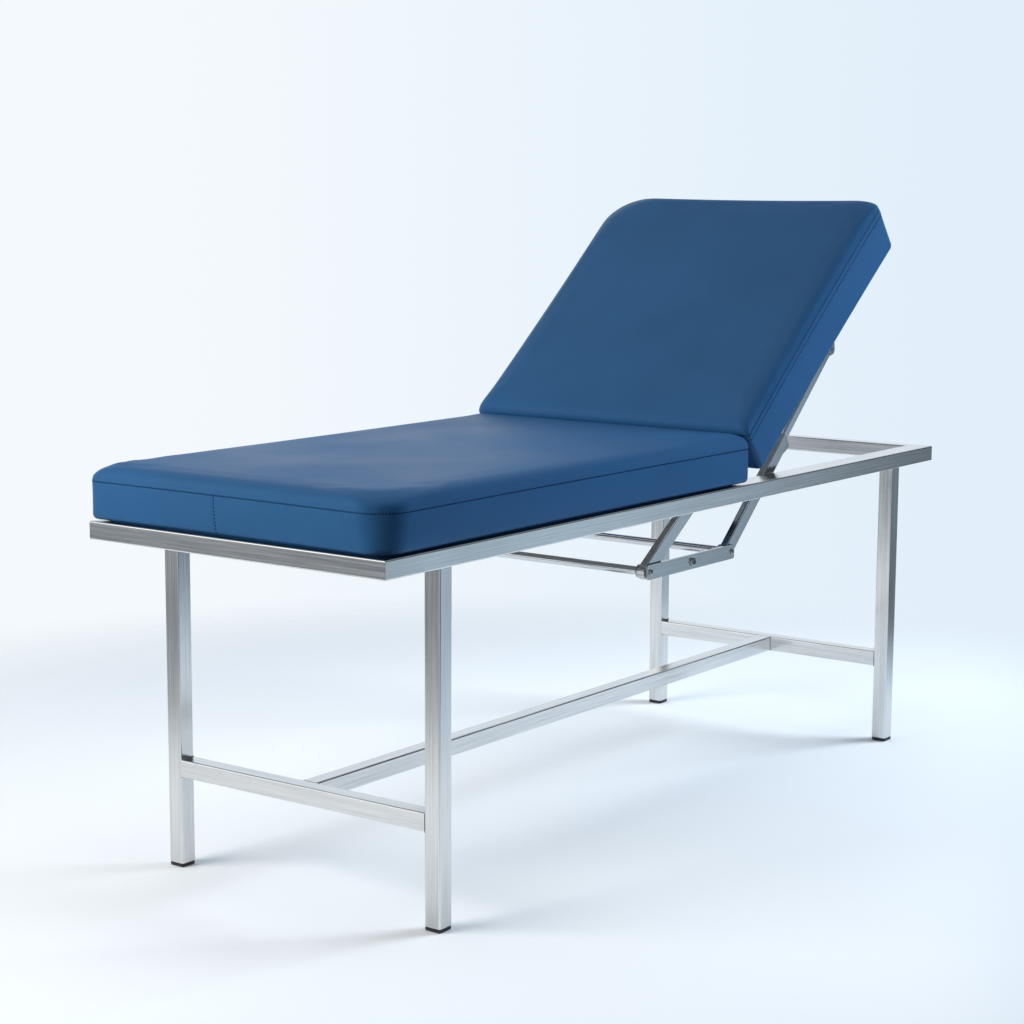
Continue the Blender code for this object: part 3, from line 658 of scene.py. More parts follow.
def inflate(name: str, points: np.ndarray, faces: list[Face], held: np.ndarray) -> np.ndarray:
    """Press out a cover from within, by a short cloth simulation.

    Args:
        name: The cover's name.
        points: Its points.
        faces: Its faces.
        held: True for each point that stays where it is.

    Returns:
        How far each point moves.
    """
    mesh = bpy.data.meshes.new(name)
    mesh.from_pydata([Vector(point) for point in points], [], faces)
    cover = bpy.data.objects.new(name, mesh)
    scene = bpy.context.scene
    scene.collection.objects.link(cover)
    seams = cover.vertex_groups.new(name="seams")
    seams.add([int(number) for number in np.flatnonzero(held)], 1.0, "REPLACE")
    cloth = cover.modifiers.new("foam", "CLOTH")
    for setting, value in FOAM.items():
        setattr(cloth.settings, setting, value)
    cloth.settings.effector_weights.gravity = 0
    cloth.settings.vertex_group_mass = seams.name
    cloth.collision_settings.use_collision = False
    cloth.point_cache.frame_end = FOAM_FRAMES
    for number in range(1, FOAM_FRAMES + 1):
        scene.frame_set(number)
    graph = bpy.context.evaluated_depsgraph_get()
    result = cover.evaluated_get(graph).to_mesh()
    moved = np.zeros(len(result.vertices) * 3)
    result.vertices.foreach_get("co", moved)
    scene.frame_set(1)
    bpy.data.objects.remove(cover, do_unlink=True)
    return moved.reshape(-1, 3) - points


@dataclass(frozen=True)
class Level:
    """One ring of a pad: how far in and how high it lies, its corner radii, and whether it is held."""

    inset: float
    z: float
    crease: float
    free: Pair
    draw: float = 0.0
    held: bool = True


@dataclass
class Pad:
    """An upholstered pad on a board, in a frame with X from its crease, Y across and Z through it.

    Pairs at the free end, such as its corners' radii, name the corner on +Y first. The dents beside the
    stitches are each a depth and a distance, the waves of the top panel each a frequency and a height.
    """

    stem: str
    body: str
    place: Matrix
    length: float
    rim: float
    boxing: float
    board_low: float
    domes: Pair
    swell: float
    stitch_drop: float
    joint_y: float | None = None
    width: float = 0.648
    board_thickness: float = 0.012
    board_inset: float = 0.016
    board_corner: float = 0.030
    rim_corner: float = 0.050
    rim_rounding: float = 0.009
    free_corners: Pair = (0.022, 0.022)
    crease_corner: float = 0.010
    crease_dome: float = 0.012
    crease_ease: float = 1.0
    crease_still: float = 0.004
    crease_fade: float = 0.090
    edge_radius: float = 0.030
    edge_lip: float = 0.0009
    draw_in: float = 0.003
    crown: float = 0.005
    swelling: float = 0.0020
    waves: tuple[Pair, ...] = ((7.0, 0.0008), (17.0, 0.00022))
    hem_reach: float = 0.046
    hem_fold: float = 0.024
    hem_low: float = 0.00022
    hem_high: float = 0.00005
    welt: float = 0.0065
    groove_depth: float = 0.0010
    groove_reach: float = 0.0022
    groove_lip: float = 0.0003
    groove_shoulders: Pair = (0.35, 0.55)
    stitch_depth: float = 0.0004
    stitch_dents: tuple[Pair, ...] = ((0.0001, 0.0022), (0.0003, 0.0008))
    stitch_margin: float = 0.004
    stitch_out: float = 0.0004
    stitch_pitch: float = 0.0057
    stitch_radii: Pair = (0.0009, 0.0003)
    stitch_halves: Pair = (0.0009, 0.0014)
    gather: float = 0.0006
    gather_back: float = 0.0001
    gather_every: int = 4
    gather_rings: int = 8
    gather_peak: int = 3
    gather_fade: int = 6
    joint_dent: float = 0.0005
    joint_dent_width: float = 0.0011
    joint_lap_at: float = -0.006
    joint_lap_width: float = 0.004
    joint_marks: tuple[float, ...] = (-0.0024, -0.0008, 0.0, 0.0008, 0.0024)
    joint_clear: float = 0.004
    joint_ring: int = 7
    staple_inset: float = 0.038
    staple_corner: float = 0.014
    staple_pitch: float = 0.034
    staple_turn: float = 0.25
    staple_half: Pair = (0.0055, 0.0006)
    staple_corner_cut: Pair = (0.0051, 0.0004)
    staple_heights: Pair = (-0.0001, 0.00014)
    corner_steps: int = 20
    long_steps: int = 110
    short_steps: int = 64
    rim_steps: int = 6
    band_steps: int = 10
    edge_steps: int = 14
    levels: list[Level] = field(default_factory=list)
    stitch_ring: int = 0
    joint_column: int | None = None

    @property
    def name(self) -> str:
        """The name of the pad's own piece."""
        return f"{self.stem}_upholstery"

    @property
    def seam(self) -> float:
        """The height at which the side band meets the top panel."""
        return self.rim + self.boxing

    @property
    def board_top(self) -> float:
        """The height of the board's upper face."""
        return self.board_low + self.board_thickness

    @property
    def free_side(self) -> Pair:
        """Where the straight part of the free end starts across the pad, and how long it is."""
        return self.free_corners[1] - self.width / 2, self.width - sum(self.free_corners)

    @property
    def ring_size(self) -> int:
        """The number of points on every ring."""
        return self.corner_start(4)

    def dress(self, nodes: dict[str, Object]) -> None:
        """Give the board and its screws their finishes."""
        dress_nodes(nodes, {PLYWOOD: (f"{self.stem}_board",), ZINC: (f"{self.stem}_screw",)})

    def build(self) -> None:
        """Make the pad, its stitches and its staples."""
        self.lay_levels()
        points, faces, _ = self.mesh_data()
        points = self.sew(self.swell_up(points))
        mesh = bpy.data.meshes.new(self.name)
        mesh.from_pydata([self.place @ Vector(point) for point in points], [], faces)
        mesh.shade_smooth()
        piece = place_piece(self.name, mesh, VINYL, self.body, [f"{self.stem}_cushion"])
        self.stitch(points)
        self.staple()

    def shares(self, side: int) -> np.ndarray:
        """Lay out the points between two corners, closer at the band's joint.

        Args:
            side: The side's number, from its first corner's.

        Returns:
            Where the points lie, as shares of that side.
        """
        if side % 2 == 0:
            return np.linspace(0, 1, self.long_steps + 1)[1:-1]
        values = list(np.linspace(0, 1, self.short_steps + 1)[1:-1])
        if self.joint_y is not None:
            low, span = self.free_side
            middle = (self.joint_y - low) / span
            extra = [middle + mark / span for mark in self.joint_marks]
            values = [v for v in values if abs(v - middle) > self.joint_clear / span] + extra
        values = np.sort(np.array(values))
        return values if side == 3 else np.sort(1 - values)

    def corner_start(self, corner: int) -> int:
        """Return the number of a corner's first point on every ring."""
        return sum(self.corner_steps + 1 + len(self.shares(side)) for side in range(corner))

    def ring(self, level: Level) -> np.ndarray:
        """Lay one ring of points, anticlockwise from the free end's corner on +Y.

        Args:
            level: The ring's measures.

        Returns:
            The points.
        """
        far = self.length - level.inset
        half = self.width / 2 - level.inset
        near = level.inset * self.crease_ease
        first, last = level.free
        centres = (
            (far - first, half - first, first),
            (near + level.crease, half - level.crease, level.crease),
            (near + level.crease, level.crease - half, level.crease),
            (far - last, last - half, last),
        )
        parts = []
        for index, (x, y, radius) in enumerate(centres):
            angles = np.pi / 2 * (index + np.linspace(0, 1, self.corner_steps + 1))
            parts.append(np.column_stack((x + radius * np.cos(angles), y + radius * np.sin(angles))))
            outward = np.array((np.cos(np.pi / 2 * (index + 1)), np.sin(np.pi / 2 * (index + 1))))
            after = centres[(index + 1) % 4]
            start = np.array((x, y)) + radius * outward
            end = np.array(after[:2]) + after[2] * outward
            share = self.shares(index)[:, None]
            pull = 0 if index == 1 else level.draw
            parts.append(start * (1 - share) + end * share - outward * pull * 4 * share * (1 - share))
        loop = np.concatenate(parts)
        return np.column_stack((loop, np.full(len(loop), level.z)))

    def lay_levels(self) -> None:
        """List the rings from the board's pocket, round the hem and up the band to the top panel."""
        pocket = self.board_inset - GAP
        low = self.board_low - self.hem_low
        high = self.board_low - self.hem_high
        rim = self.rim if self.rim > self.board_low else low
        stitch = self.seam - self.stitch_drop

        def hem(inset: float, z: float) -> Level:
            """Return a ring of the hem, with the board's corners."""
            return Level(inset, z, self.board_corner + GAP, (self.board_corner + GAP,) * 2)

        def band(inset: float, z: float, held: bool = True) -> Level:
            """Lay a ring of the side band; wide corners are tighter at the rim, round the board.

            Args:
                inset: How far in it lies.
                z: Its height.
                held: True if it stays where it is when the pad swells.

            Returns:
                The ring's measures.
            """
            rise = min(max((z - rim) / (stitch - rim), 0.0), 1.0)
            free = []
            for radius in self.free_corners:
                tight = min(radius, self.rim_corner)
                free.append(max(tight + (radius - tight) * rise * rise * (3 - 2 * rise) - inset, GAP))
            return Level(inset, z, max(self.crease_corner - inset, GAP), tuple(free), self.draw_in, held)

        levels = [hem(pocket, self.board_top + GAP), hem(pocket, high)]
        levels += [hem(self.hem_reach, high), hem(self.hem_reach, low), hem(self.hem_fold, low)]
        for step in range(self.rim_steps + 1):
            angle = QUARTER * step / self.rim_steps
            inset = self.rim_rounding * (1 - math.sin(angle))
            levels.append(band(inset, rim + self.rim_rounding * (1 - math.cos(angle))))
        start = rim + self.rim_rounding
        for step in range(1, self.band_steps + 1):
            rise = (stitch - self.stitch_margin - start) * step / self.band_steps
            levels.append(band(0.0, start + rise, False))
        levels += [band(depth, stitch - away) for depth, away in self.stitch_dents]
        self.stitch_ring = len(levels)
        levels.append(band(self.stitch_depth, stitch))
        levels += [band(depth, stitch + away) for depth, away in self.stitch_dents[::-1]]
        groove = stitch + self.welt
        lip = self.groove_lip
        below, above = (share * self.groove_reach for share in self.groove_shoulders)
        levels.append(band(lip, groove - self.groove_reach))
        levels.append(band(lip + self.groove_depth / 2, groove - below))
        levels.append(band(self.groove_depth, groove))
        top = self.seam + self.edge_radius
        base = groove + above
        for step in range(self.edge_steps + 1):
            angle = QUARTER * step / self.edge_steps
            share = 1 - math.cos(angle)
            inset = self.edge_lip + (self.edge_radius - self.edge_lip) * share
            z = base + (top - base) * math.sin(angle)
            crease = self.crease_corner + self.crease_dome * share
            free = tuple(radius + dome * share for radius, dome in zip(self.free_corners, self.domes))
            levels.append(Level(inset, z, crease, free, self.draw_in, step == 0))
        self.levels = levels

    def mesh_data(self) -> tuple[np.ndarray, list[Face], np.ndarray]:
        """Join the rings and the top panel, before the pad swells.

        Returns:
            The points, the faces, and True for each point that is held.
        """
        rings = [self.ring(level) for level in self.levels]
        count = len(rings[0])
        faces: list[Face] = [tuple(range(count - 1, -1, -1))]
        for low in range(len(rings) - 1):
            for index in range(count):
                after = (index + 1) % count
                first = low * count
                second = first + count
                faces.append((first + index, first + after, second + after, second + index))
        points = np.concatenate(rings)
        held = np.repeat([level.held for level in self.levels], count)
        inner, panel = self.panel(len(points) - count, rings[-1])
        points = np.concatenate((points, inner))
        held = np.concatenate((held, np.zeros(len(inner), bool)))
        return self.thicken(points), faces + panel, held

    def panel(self, first: int, loop: np.ndarray) -> tuple[np.ndarray, list[Face]]:
        """Fill the last ring with the crowned top panel.

        Args:
            first: The number of the last ring's first point.
            loop: The last ring's points.

        Returns:
            The inner points, and quads over them and the ring.
        """
        count = len(loop)
        half = self.corner_steps // 2
        turns = [self.corner_start(corner) + half for corner in range(4)]

        def side(start: int, end: int) -> list[int]:
            """Return the numbers on the ring from one corner's middle to the next."""
            return [index % count for index in range(start, (end if end > start else end + count) + 1)]

        far_y = side(turns[0], turns[1])
        crease = side(turns[1], turns[2])[::-1]
        near_y = side(turns[2], turns[3])[::-1]
        free = side(turns[3], turns[0])
        rows, columns = len(far_y), len(free)
        u = np.linspace(0, 1, rows)[:, None, None]
        v = np.linspace(0, 1, columns)[None, :, None]
        low, high = loop[near_y][:, None], loop[far_y][:, None]
        start, end = loop[free][None], loop[crease][None]
        grid = (1 - v) * low + v * high + (1 - u) * start + u * end
        grid -= (1 - u) * ((1 - v) * start[:, :1] + v * start[:, -1:])
        grid -= u * ((1 - v) * end[:, :1] + v * end[:, -1:])
        along = (2 * grid[..., 0] - self.length) / (self.length - 2 * self.edge_radius)
        across = 2 * grid[..., 1] / (self.width - 2 * self.edge_radius)
        level = (1 - np.clip(along, -1, 1) ** 6) * (1 - np.clip(across, -1, 1) ** 2)
        grid[..., 2] += self.crown * level**2
        numbers = np.zeros((rows, columns), int)
        numbers[1:-1, 1:-1] = first + count + np.arange((rows - 2) * (columns - 2)).reshape(rows - 2, -1)
        numbers[:, 0] = first + np.array(near_y)
        numbers[:, -1] = first + np.array(far_y)
        numbers[0] = first + np.array(free)
        numbers[-1] = first + np.array(crease)
        faces = [
            (numbers[r, c], numbers[r, c + 1], numbers[r + 1, c + 1], numbers[r + 1, c])
            for r in range(rows - 1)
            for c in range(columns - 1)
        ]
        return grid[1:-1, 1:-1].reshape(-1, 3), [tuple(int(n) for n in face) for face in faces]

    def thicken(self, points: np.ndarray) -> np.ndarray:
        """Grow the pad thicker towards its free end.

        Args:
            points: The pad's points.

        Returns:
            The lifted points.
        """
        lifted = points.copy()
        share = np.clip((points[:, 2] - self.board_top - GAP) / (self.seam - self.board_top), 0, 1)
        lifted[:, 2] += self.swell * share * points[:, 0] / self.length
        return lifted

    def swell_up(self, points: np.ndarray) -> np.ndarray:
        """Let the foam fill out the cover.

        A short cloth simulation swells a coarser copy of the pad, held at its seams, board and hem, and
        the pad follows it. Near the crease the pad keeps its shape, clear of the other pad.

        Args:
            points: The pad before it swells.

        Returns:
            The swollen points.
        """
        coarse = replace(self, **COARSE)
        coarse.lay_levels()
        rough, faces, held = coarse.mesh_data()
        shift = inflate(f"{self.name} cover", rough, faces, held)
        size = np.linalg.norm(shift, axis=1)
        LOG.info("%s swells by up to %.1f mm before its cap", self.name, 1000 * size.max())
        shift *= (np.tanh(size / self.swelling) * self.swelling / np.maximum(size, TINY))[:, None]
        corners = [Vector(point) for point in rough]
        near = BVHTree.FromPolygons(corners, faces)
        swollen = points.copy()
        for number, point in enumerate(points):
            spot, _, face, _ = near.find_nearest(Vector(point))
            ring = faces[face]
            if face > 0:
                weights = poly_3d_calc([corners[corner] for corner in ring], spot)
                swollen[number] += np.array(weights) @ shift[list(ring)]
        clear = np.clip((points[:, 0] - self.crease_still) / self.crease_fade, 0, 1)
        return points + (swollen - points) * (clear * clear * (3 - 2 * clear))[:, None]

    def sew(self, points: np.ndarray) -> np.ndarray:
        """Gather the cover at the free corners, lap the band's joint and make the top panel uneven.

        Args:
            points: The pad's points.

        Returns:
            The sewn points.
        """
        made = points.copy()
        count = self.ring_size
        for corner in (0, 3):
            start = self.corner_start(corner)
            for step in range(self.corner_steps + 1):
                window = math.sin(math.pi * (step + 0.5) / (self.corner_steps + 1))
                tucked = step % self.gather_every == self.gather_every // 2
                tick = self.gather if tucked else -self.gather_back
                angle = QUARTER * (corner + step / self.corner_steps)
                inward = -np.array((math.cos(angle), math.sin(angle), 0.0))
                for above in range(1, self.gather_rings + 1):
                    fade = 1 - abs(above - self.gather_peak) / self.gather_fade
                    made[(self.stitch_ring + above) * count + start + step] += inward * tick * window * fade
        if self.joint_y is not None:
            straight = self.corner_start(3) + self.corner_steps + 1
            low, span = self.free_side
            for offset, share in enumerate(self.shares(3)):
                across = low + share * span - self.joint_y
                dent = math.exp(-((across / self.joint_dent_width) ** 2))
                lap = math.exp(-(((across - self.joint_lap_at) / self.joint_lap_width) ** 2))
                for number in range(self.joint_ring, self.stitch_ring):
                    made[number * count + straight + offset, 0] -= self.joint_dent * (dent - lap)
                if abs(across) < TINY:
                    self.joint_column = straight + offset
        for number in range((len(self.levels) - 1) * count, len(made)):
            spot = Vector(made[number])
            made[number, 2] += sum(noise.noise(spot * often) * height for often, height in self.waves)
        return made

    def ring_path(self, points: np.ndarray, number: int, out: float) -> list[Vector]:
        """Follow one ring a little off the pad.

        Args:
            points: The pad's points.
            number: The ring's number.
            out: How far outwards the path lies.

        Returns:
            The path's points in the part's frame, the first one again at the end.
        """
        count = self.ring_size
        loop = points[number * count : (number + 1) * count]
        ahead = np.roll(loop, -1, axis=0) - np.roll(loop, 1, axis=0)
        outward = np.column_stack((ahead[:, 1], -ahead[:, 0], np.zeros(count)))
        outward /= np.maximum(np.linalg.norm(outward, axis=1), TINY)[:, None]
        path = [self.place @ Vector(point) for point in loop + outward * out]
        return path + path[:1]

    def stitch(self, points: np.ndarray) -> None:
        """Sew stitches along the seam, and down the joint of the band if there is one.

        Args:
            points: The pad's points.
        """
        name = f"{self.name}_stitches"
        paths = [self.ring_path(points, self.stitch_ring, self.stitch_out)]
        if self.joint_column is not None:
            rings = range(self.joint_ring + 2, self.stitch_ring - 1)
            column = [Vector(points[number * self.ring_size + self.joint_column]) for number in rings]
            paths.append([self.place @ (point + Vector((self.stitch_out, 0, 0))) for point in column])
        middle, end = zip(self.stitch_radii, self.stitch_halves)
        profile = [(end[0], -end[1]), (middle[0], -middle[1]), middle, end]
        item = turned("stitch", profile, 6)
        item.transform(Matrix.Rotation(QUARTER, 4, "Y"))
        mesh = Repeater(name, self.stitch_pitch).along(paths, item, THREAD)
        place_piece(name, mesh, THREAD, self.body)

    def staple(self) -> None:
        """Staple the hem of the cover to the underside of the board."""
        name = f"{self.name}_staples"
        corner = self.staple_corner
        level = Level(self.staple_inset, self.board_low - self.hem_low, corner, (corner, corner))
        path = [self.place @ Vector(point) for point in self.ring(level)]
        (x, y), (flat_x, flat_y) = self.staple_half, self.staple_corner_cut
        edge = [(-x, flat_y), (-flat_x, y), (flat_x, y), (x, flat_y)]
        outline = edge + [(px, -py) for px, py in edge[::-1]]
        item = loft("staple", [[(px, py, z) for px, py in outline] for z in self.staple_heights])
        down = self.place.to_3x3() @ Vector((0, 0, -1))
        line = Repeater(name, self.staple_pitch)
        mesh = line.along([path + path[:1]], item, ZINC, down, self.staple_turn)
        place_piece(name, mesh, ZINC, self.body)


@dataclass(frozen=True)
class Frame:
    """The welded tube frame: its finishes, the weld beads at its joints and the caps under its legs.

    The bead's profile is in units of the bead. The caps' levels are each a height and an inset.
    """

    legs_x: Pair = (-0.767, 0.805)
    leg_y: float = 0.291
    rail_bottom: float = 0.608
    stretcher_top: float = 0.198
    cross_tubes_x: Pair = (-0.4085, 0.122)
    bead: float = 0.0019
    bead_pitch: float = 0.9
    bead_profile: tuple[Pair, ...] = ((0.2, -0.75), (0.8, -0.45), (1, 0), (0.8, 0.45), (0.2, 0.75))
    bead_short: float = 0.002
    cap_corner: float = 0.0035
    cap_bottom: tuple[Pair, ...] = ((0.0, 0.0022), (0.0006, 0.0009), (0.0018, 0.0))
    cap_lip: tuple[Pair, ...] = ((0.0062, 0.0), (0.0070, 0.0008))

    def dress(self, nodes: dict[str, Object]) -> None:
        """Give the tubes their brushed finish, along each tube.

        Args:
            nodes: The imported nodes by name.
        """
        lengthwise = ("side_rail", "centre_stretcher")
        rails = ("foot_end_rail", "head_end_rail", "cross_stretcher")
        across = (*rails, "seat_cross_tube", "hinge_cross_tube")
        dress_nodes(nodes, {STEEL_X: lengthwise, STEEL_Y: across, STEEL_Z: ("leg_",)})

    def build(self) -> None:
        """Make the weld beads and the caps."""
        self.build_welds()
        self.build_caps()

    def weld_lines(self) -> list[list[Vector]]:
        """Trace the weld beads of the legs, the stretchers and the cross tubes.

        Returns:
            Each bead's line, from end to end.
        """
        ends = []
        half = TUBE / 2
        run = half - self.bead_short
        low = self.stretcher_top - TUBE
        for x in self.legs_x:
            for _, sign in SIDES:
                inner = sign * (self.leg_y - half)
                for z in (self.stretcher_top, low):
                    ends.append(((x - run, inner, z), (x + run, inner, z)))
                y1, y2 = sign * (self.leg_y - run), sign * (self.leg_y + run)
                for side_x in (x - half, x + half):
                    ends.append(((side_x, y1, self.rail_bottom), (side_x, y2, self.rail_bottom)))
                outer = sign * (self.leg_y + half)
                ends.append(((x - run, outer, self.rail_bottom), (x + run, outer, self.rail_bottom)))
        uprights = []
        for x, edge in zip(self.legs_x, (half, -half)):
            uprights += [(x + edge, sign * half, low, self.stretcher_top) for _, sign in SIDES]
        for x in self.cross_tubes_x:
            for _, sign in SIDES:
                for edge in (-half, half):
                    uprights.append((x + edge, sign * RAIL_INNER, self.rail_bottom, RAIL_TOP))
        for x, y, bottom, top in uprights:
            ends.append(((x, y, bottom + self.bead_short), (x, y, top - self.bead_short)))
        return [[Vector(start), Vector(end)] for start, end in ends]

    def build_welds(self) -> None:
        """Lay rippled beads along the weld lines."""
        item = turned("weld ripple", [(self.bead * r, self.bead * z) for r, z in self.bead_profile], 8)
        item.transform(Matrix.Rotation(QUARTER, 4, "Y"))
        mesh = Repeater("frame_welds", self.bead_pitch * self.bead).along(self.weld_lines(), item, WELD)
        place_piece("frame_welds", mesh, WELD, "frame")

    def build_caps(self) -> None:
        """Make the plastic caps under the legs, with softened edges and a small lip round the tube."""
        outlines = []
        for z, inset in self.cap_bottom + self.cap_lip:
            outlines.append((z, rounded_square(TUBE / 2 - inset, self.cap_corner - inset / 2)))
        for end, x in zip(("foot", "head"), self.legs_x):
            for side, sign in SIDES:
                y = sign * self.leg_y
                rings = [[(x + px, y + py, z) for px, py in points] for z, points in outlines]
                name = f"foot_cap_{end}_{side}"
                place_piece(f"moulded_{name}", loft(name, rings), FOOT, "frame", [name])


@dataclass(frozen=True)
class ScrewHead:
    """A screw's visible head: its radius and height, the dome's rise, its socket and its softened edges.

    The shoulder of the dome and the mouth of the socket are shares of the head's and the socket's radius.
    """

    radius: float
    height: float
    dome: float
    socket: float
    socket_depth: float
    socket_sides: int
    shank: float
    reach: float
    edge: float = 0.0003
    rim_drop: float = 0.0004
    rim_in: float = 0.0005
    shoulder: float = 0.72
    mouth: float = 1.12
    mouth_drop: float = 0.0002
    steps: int = 24

    def build(self, name: str, place: Matrix) -> Mesh:
        """Make a screw with a domed head and a socket in it, its Z pointing out of the head.

        Args:
            name: The mesh's name.
            place: Where the seat under the head lies, and how it is turned.

        Returns:
            The mesh in the part's frame.
        """
        angles = [math.tau * index / self.steps for index in range(self.steps)]
        part = math.tau / self.socket_sides
        rim = self.height - self.dome
        floor = self.height - self.socket_depth
        rings = []
        for radius, z in (
            (self.shank, -self.reach),
            (self.shank, 0),
            (self.radius - self.edge, 0),
            (self.radius, self.edge),
            (self.radius, rim - self.rim_drop),
            (self.radius - self.rim_in, rim),
            (self.shoulder * self.radius, rim + self.shoulder * self.dome),
        ):
            rings.append([(radius * math.cos(a), radius * math.sin(a), z) for a in angles])
        for share, z in ((self.mouth, self.height), (1, self.height - self.mouth_drop), (1, floor)):
            flat = share * self.socket * math.cos(part / 2)
            spokes = [(a, flat / math.cos((a % part) - part / 2)) for a in angles]
            rings.append([(spoke * math.cos(a), spoke * math.sin(a), z) for a, spoke in spokes])
        mesh = loft(name, rings)
        mesh.transform(place)
        return mesh


PAN_HEAD = ScrewHead(0.0055, 0.0035, 0.0012, 0.0021, 0.0016, 6, 0.0030, 0.022)
CAP_HEAD = ScrewHead(0.0075, 0.0050, 0.0004, 0.0041, 0.0036, 6, 0.0040, 0.0145)
BOARD_SCREW = ScrewHead(0.0042, 0.0019, 0.0009, 0.0013, 0.0010, 4, 0.0018, 0.0032)


@dataclass(frozen=True)
class Cradle:
    """The plated arms, links and rods under the rails, with their fasteners."""

    rod_radius: float = 0.008
    collar_length: float = 0.006
    collar_radius: float = 0.0123
    arm_inner: float = 0.2597
    strut_inner: float = 0.2585
    link_middle: float = 0.0205
    soft: float = 0.0008

    def dress(self, nodes: dict[str, Object]) -> None:
        """Give arms and links their plate, and the links' nuts their zinc."""
        links = ("link_near", "link_far")
        dress_nodes(nodes, {PLATE_ARM: ("cradle_arm",), PLATE_X: links, ZINC: ("link_nut",)})

    def build(self) -> None:
        """Make the round rods, their collars, and the screws and bolts of the links."""
        soft = self.soft
        half = RAIL_INNER - GAP
        outer = self.rod_radius
        profile = [(outer - soft, -half), (outer, soft - half), (outer, half - soft), (outer - soft, half)]
        rows = (("front", FRONT_ROD_X, self.arm_inner), ("rear", REAR_ROD_X, self.strut_inner))
        for row, x, inner in rows:
            rod = turned(f"chromed_rod_{row}", profile)
            self.place_round(rod, Vector((x, 0, ROD_Z)), 1, CHROME_ROD, f"rod_{row}")
            for side, sign in SIDES:
                node = f"rod_collar_{row}_{side}"
                face = inner - GAP - self.collar_length
                ring = turned(f"turned_{node}", self.collar(), bored=True)
                self.place_round(ring, Vector((x, sign * face, ROD_Z)), sign, ZINC, node)
        for side, sign in SIDES:
            for kind, head, node, x in (
                ("pan_head", PAN_HEAD, f"link_screw_front_{side}", FRONT_ROD_X),
                ("pan_head", PAN_HEAD, f"link_screw_rear_{side}", REAR_ROD_X),
                ("cap_head", CAP_HEAD, f"link_bolt_{side}", self.link_middle),
            ):
                place = Matrix.Translation((x, sign * (LINK_OUTER + GAP), ROD_Z)) @ self.outward(sign)
                place_piece(f"{kind}_{node}", head.build(node, place), ZINC, "frame", [node])

    def collar(self) -> list[Pair]:
        """Draw the profile of a collar with softened rims.

        Returns:
            Radius and distance along the axis of each point.
        """
        bore = self.rod_radius + GAP
        outer, length, soft = self.collar_radius, self.collar_length, self.soft
        rims = [(outer - soft, 0), (outer, soft), (outer, length - soft), (outer - soft, length)]
        return [(bore, 0), *rims, (bore, length)]

    def outward(self, sign: int) -> Matrix:
        """Return the turn that points Z out of a link on one side."""
        return Matrix.Rotation(-sign * QUARTER, 4, "X")

    def place_round(self, mesh: Mesh, at: Vector, sign: int, finish: Finish, node: str) -> None:
        """Place a piece that was turned about Z with its Z along +Y, or along -Y for a sign of -1."""
        mesh.transform(Matrix.Translation(at) @ self.outward(sign))
        place_piece(mesh.name, mesh, finish, "frame", [node])


@dataclass(frozen=True)
class Struts:
    """The telescopic struts, their pawls, and the fittings under the backrest."""

    outer_length: float = 0.297
    outer_depth: float = 0.029
    pin_x: float = 0.4308
    flange_low: float = BACK_LEVEL - GAP - 0.003
    flange_screws_x: Pair = (-0.031, 0.031)
    leaf_low: float = BACK_LEVEL - GAP - 0.004
    leaf_screws_x: Pair = (0.048, 0.106)
    leaf_screws_y: Pair = (-0.011, 0.011)
    hinge_spread: float = 0.200
    pawl_faces: Pair = (-0.0055, 0.0055)
    pawl_outline: tuple[Pair, ...] = (
        (-0.026, 0.0),
        (-0.002, 0.0),
        (0.001, -0.002),
        (0.001, -0.0055),
        (-0.003, -0.0075),
        (-0.010, -0.0065),
        (-0.022, -0.0030),
        (-0.026, -0.0018),
    )

    def dress(self, nodes: dict[str, Object]) -> None:
        """Give tubes, bars, bushes, hinges and pins their finishes.

        Args:
            nodes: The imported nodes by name.
        """
        finishes = {
            PLATE_STRUT: ("strut_outer", "strut_bracket"),
            CHROME_BAR: ("strut_bar_",),
            NYLON: ("strut_bush",),
            ZINC: ("hinge_leaf", "hinge_bracket", "strut_pin", "hinge_pin"),
        }
        dress_nodes(nodes, finishes)

    def build(self) -> None:
        """Make the pawls at the mouths of the strut tubes, and the screws of hinges and brackets."""
        for side, sign in SIDES:
            place = Matrix.Translation((REAR_ROD_X, sign * STRUT_Y, ROD_Z))
            mesh = self.pawl(f"strut_pawl_{side}")
            mesh.transform(place @ Matrix.Rotation(-STRUT_ANGLE, 4, "Y"))
            place_piece(f"strut_pawl_{side}", mesh, PLATE_STRUT, f"strut_tube_{side}")
        hinge = Matrix.Translation(HINGE) @ Matrix.Rotation(-BACKREST_ANGLE, 4, "Y")
        spots = []
        for _, sign in SIDES:
            for along in self.flange_screws_x:
                spots.append((self.pin_x + along, sign * STRUT_Y, self.flange_low))
            for along in self.leaf_screws_x:
                for across in self.leaf_screws_y:
                    spots.append((along, sign * self.hinge_spread + across, self.leaf_low))
        builder = bmesh.new()
        for spot in spots:
            place = hinge @ Matrix.Translation(spot) @ Matrix.Rotation(math.pi, 4, "X")
            builder.from_mesh(BOARD_SCREW.build("board screw", place))
        place_piece("backrest_screws", finish_mesh(builder, "backrest_screws"), ZINC, "backrest")

    def pawl(self, name: str) -> Mesh:
        """Make the pawl on a strut's lower face, in the strut's frame, with X along the strut.

        Args:
            name: The mesh's name.

        Returns:
            The mesh.
        """
        top = -self.outer_depth / 2 - GAP
        outline = [(self.outer_length + x, top + z) for x, z in self.pawl_outline]
        return loft(name, [[(x, y, z) for x, z in outline] for y in self.pawl_faces])


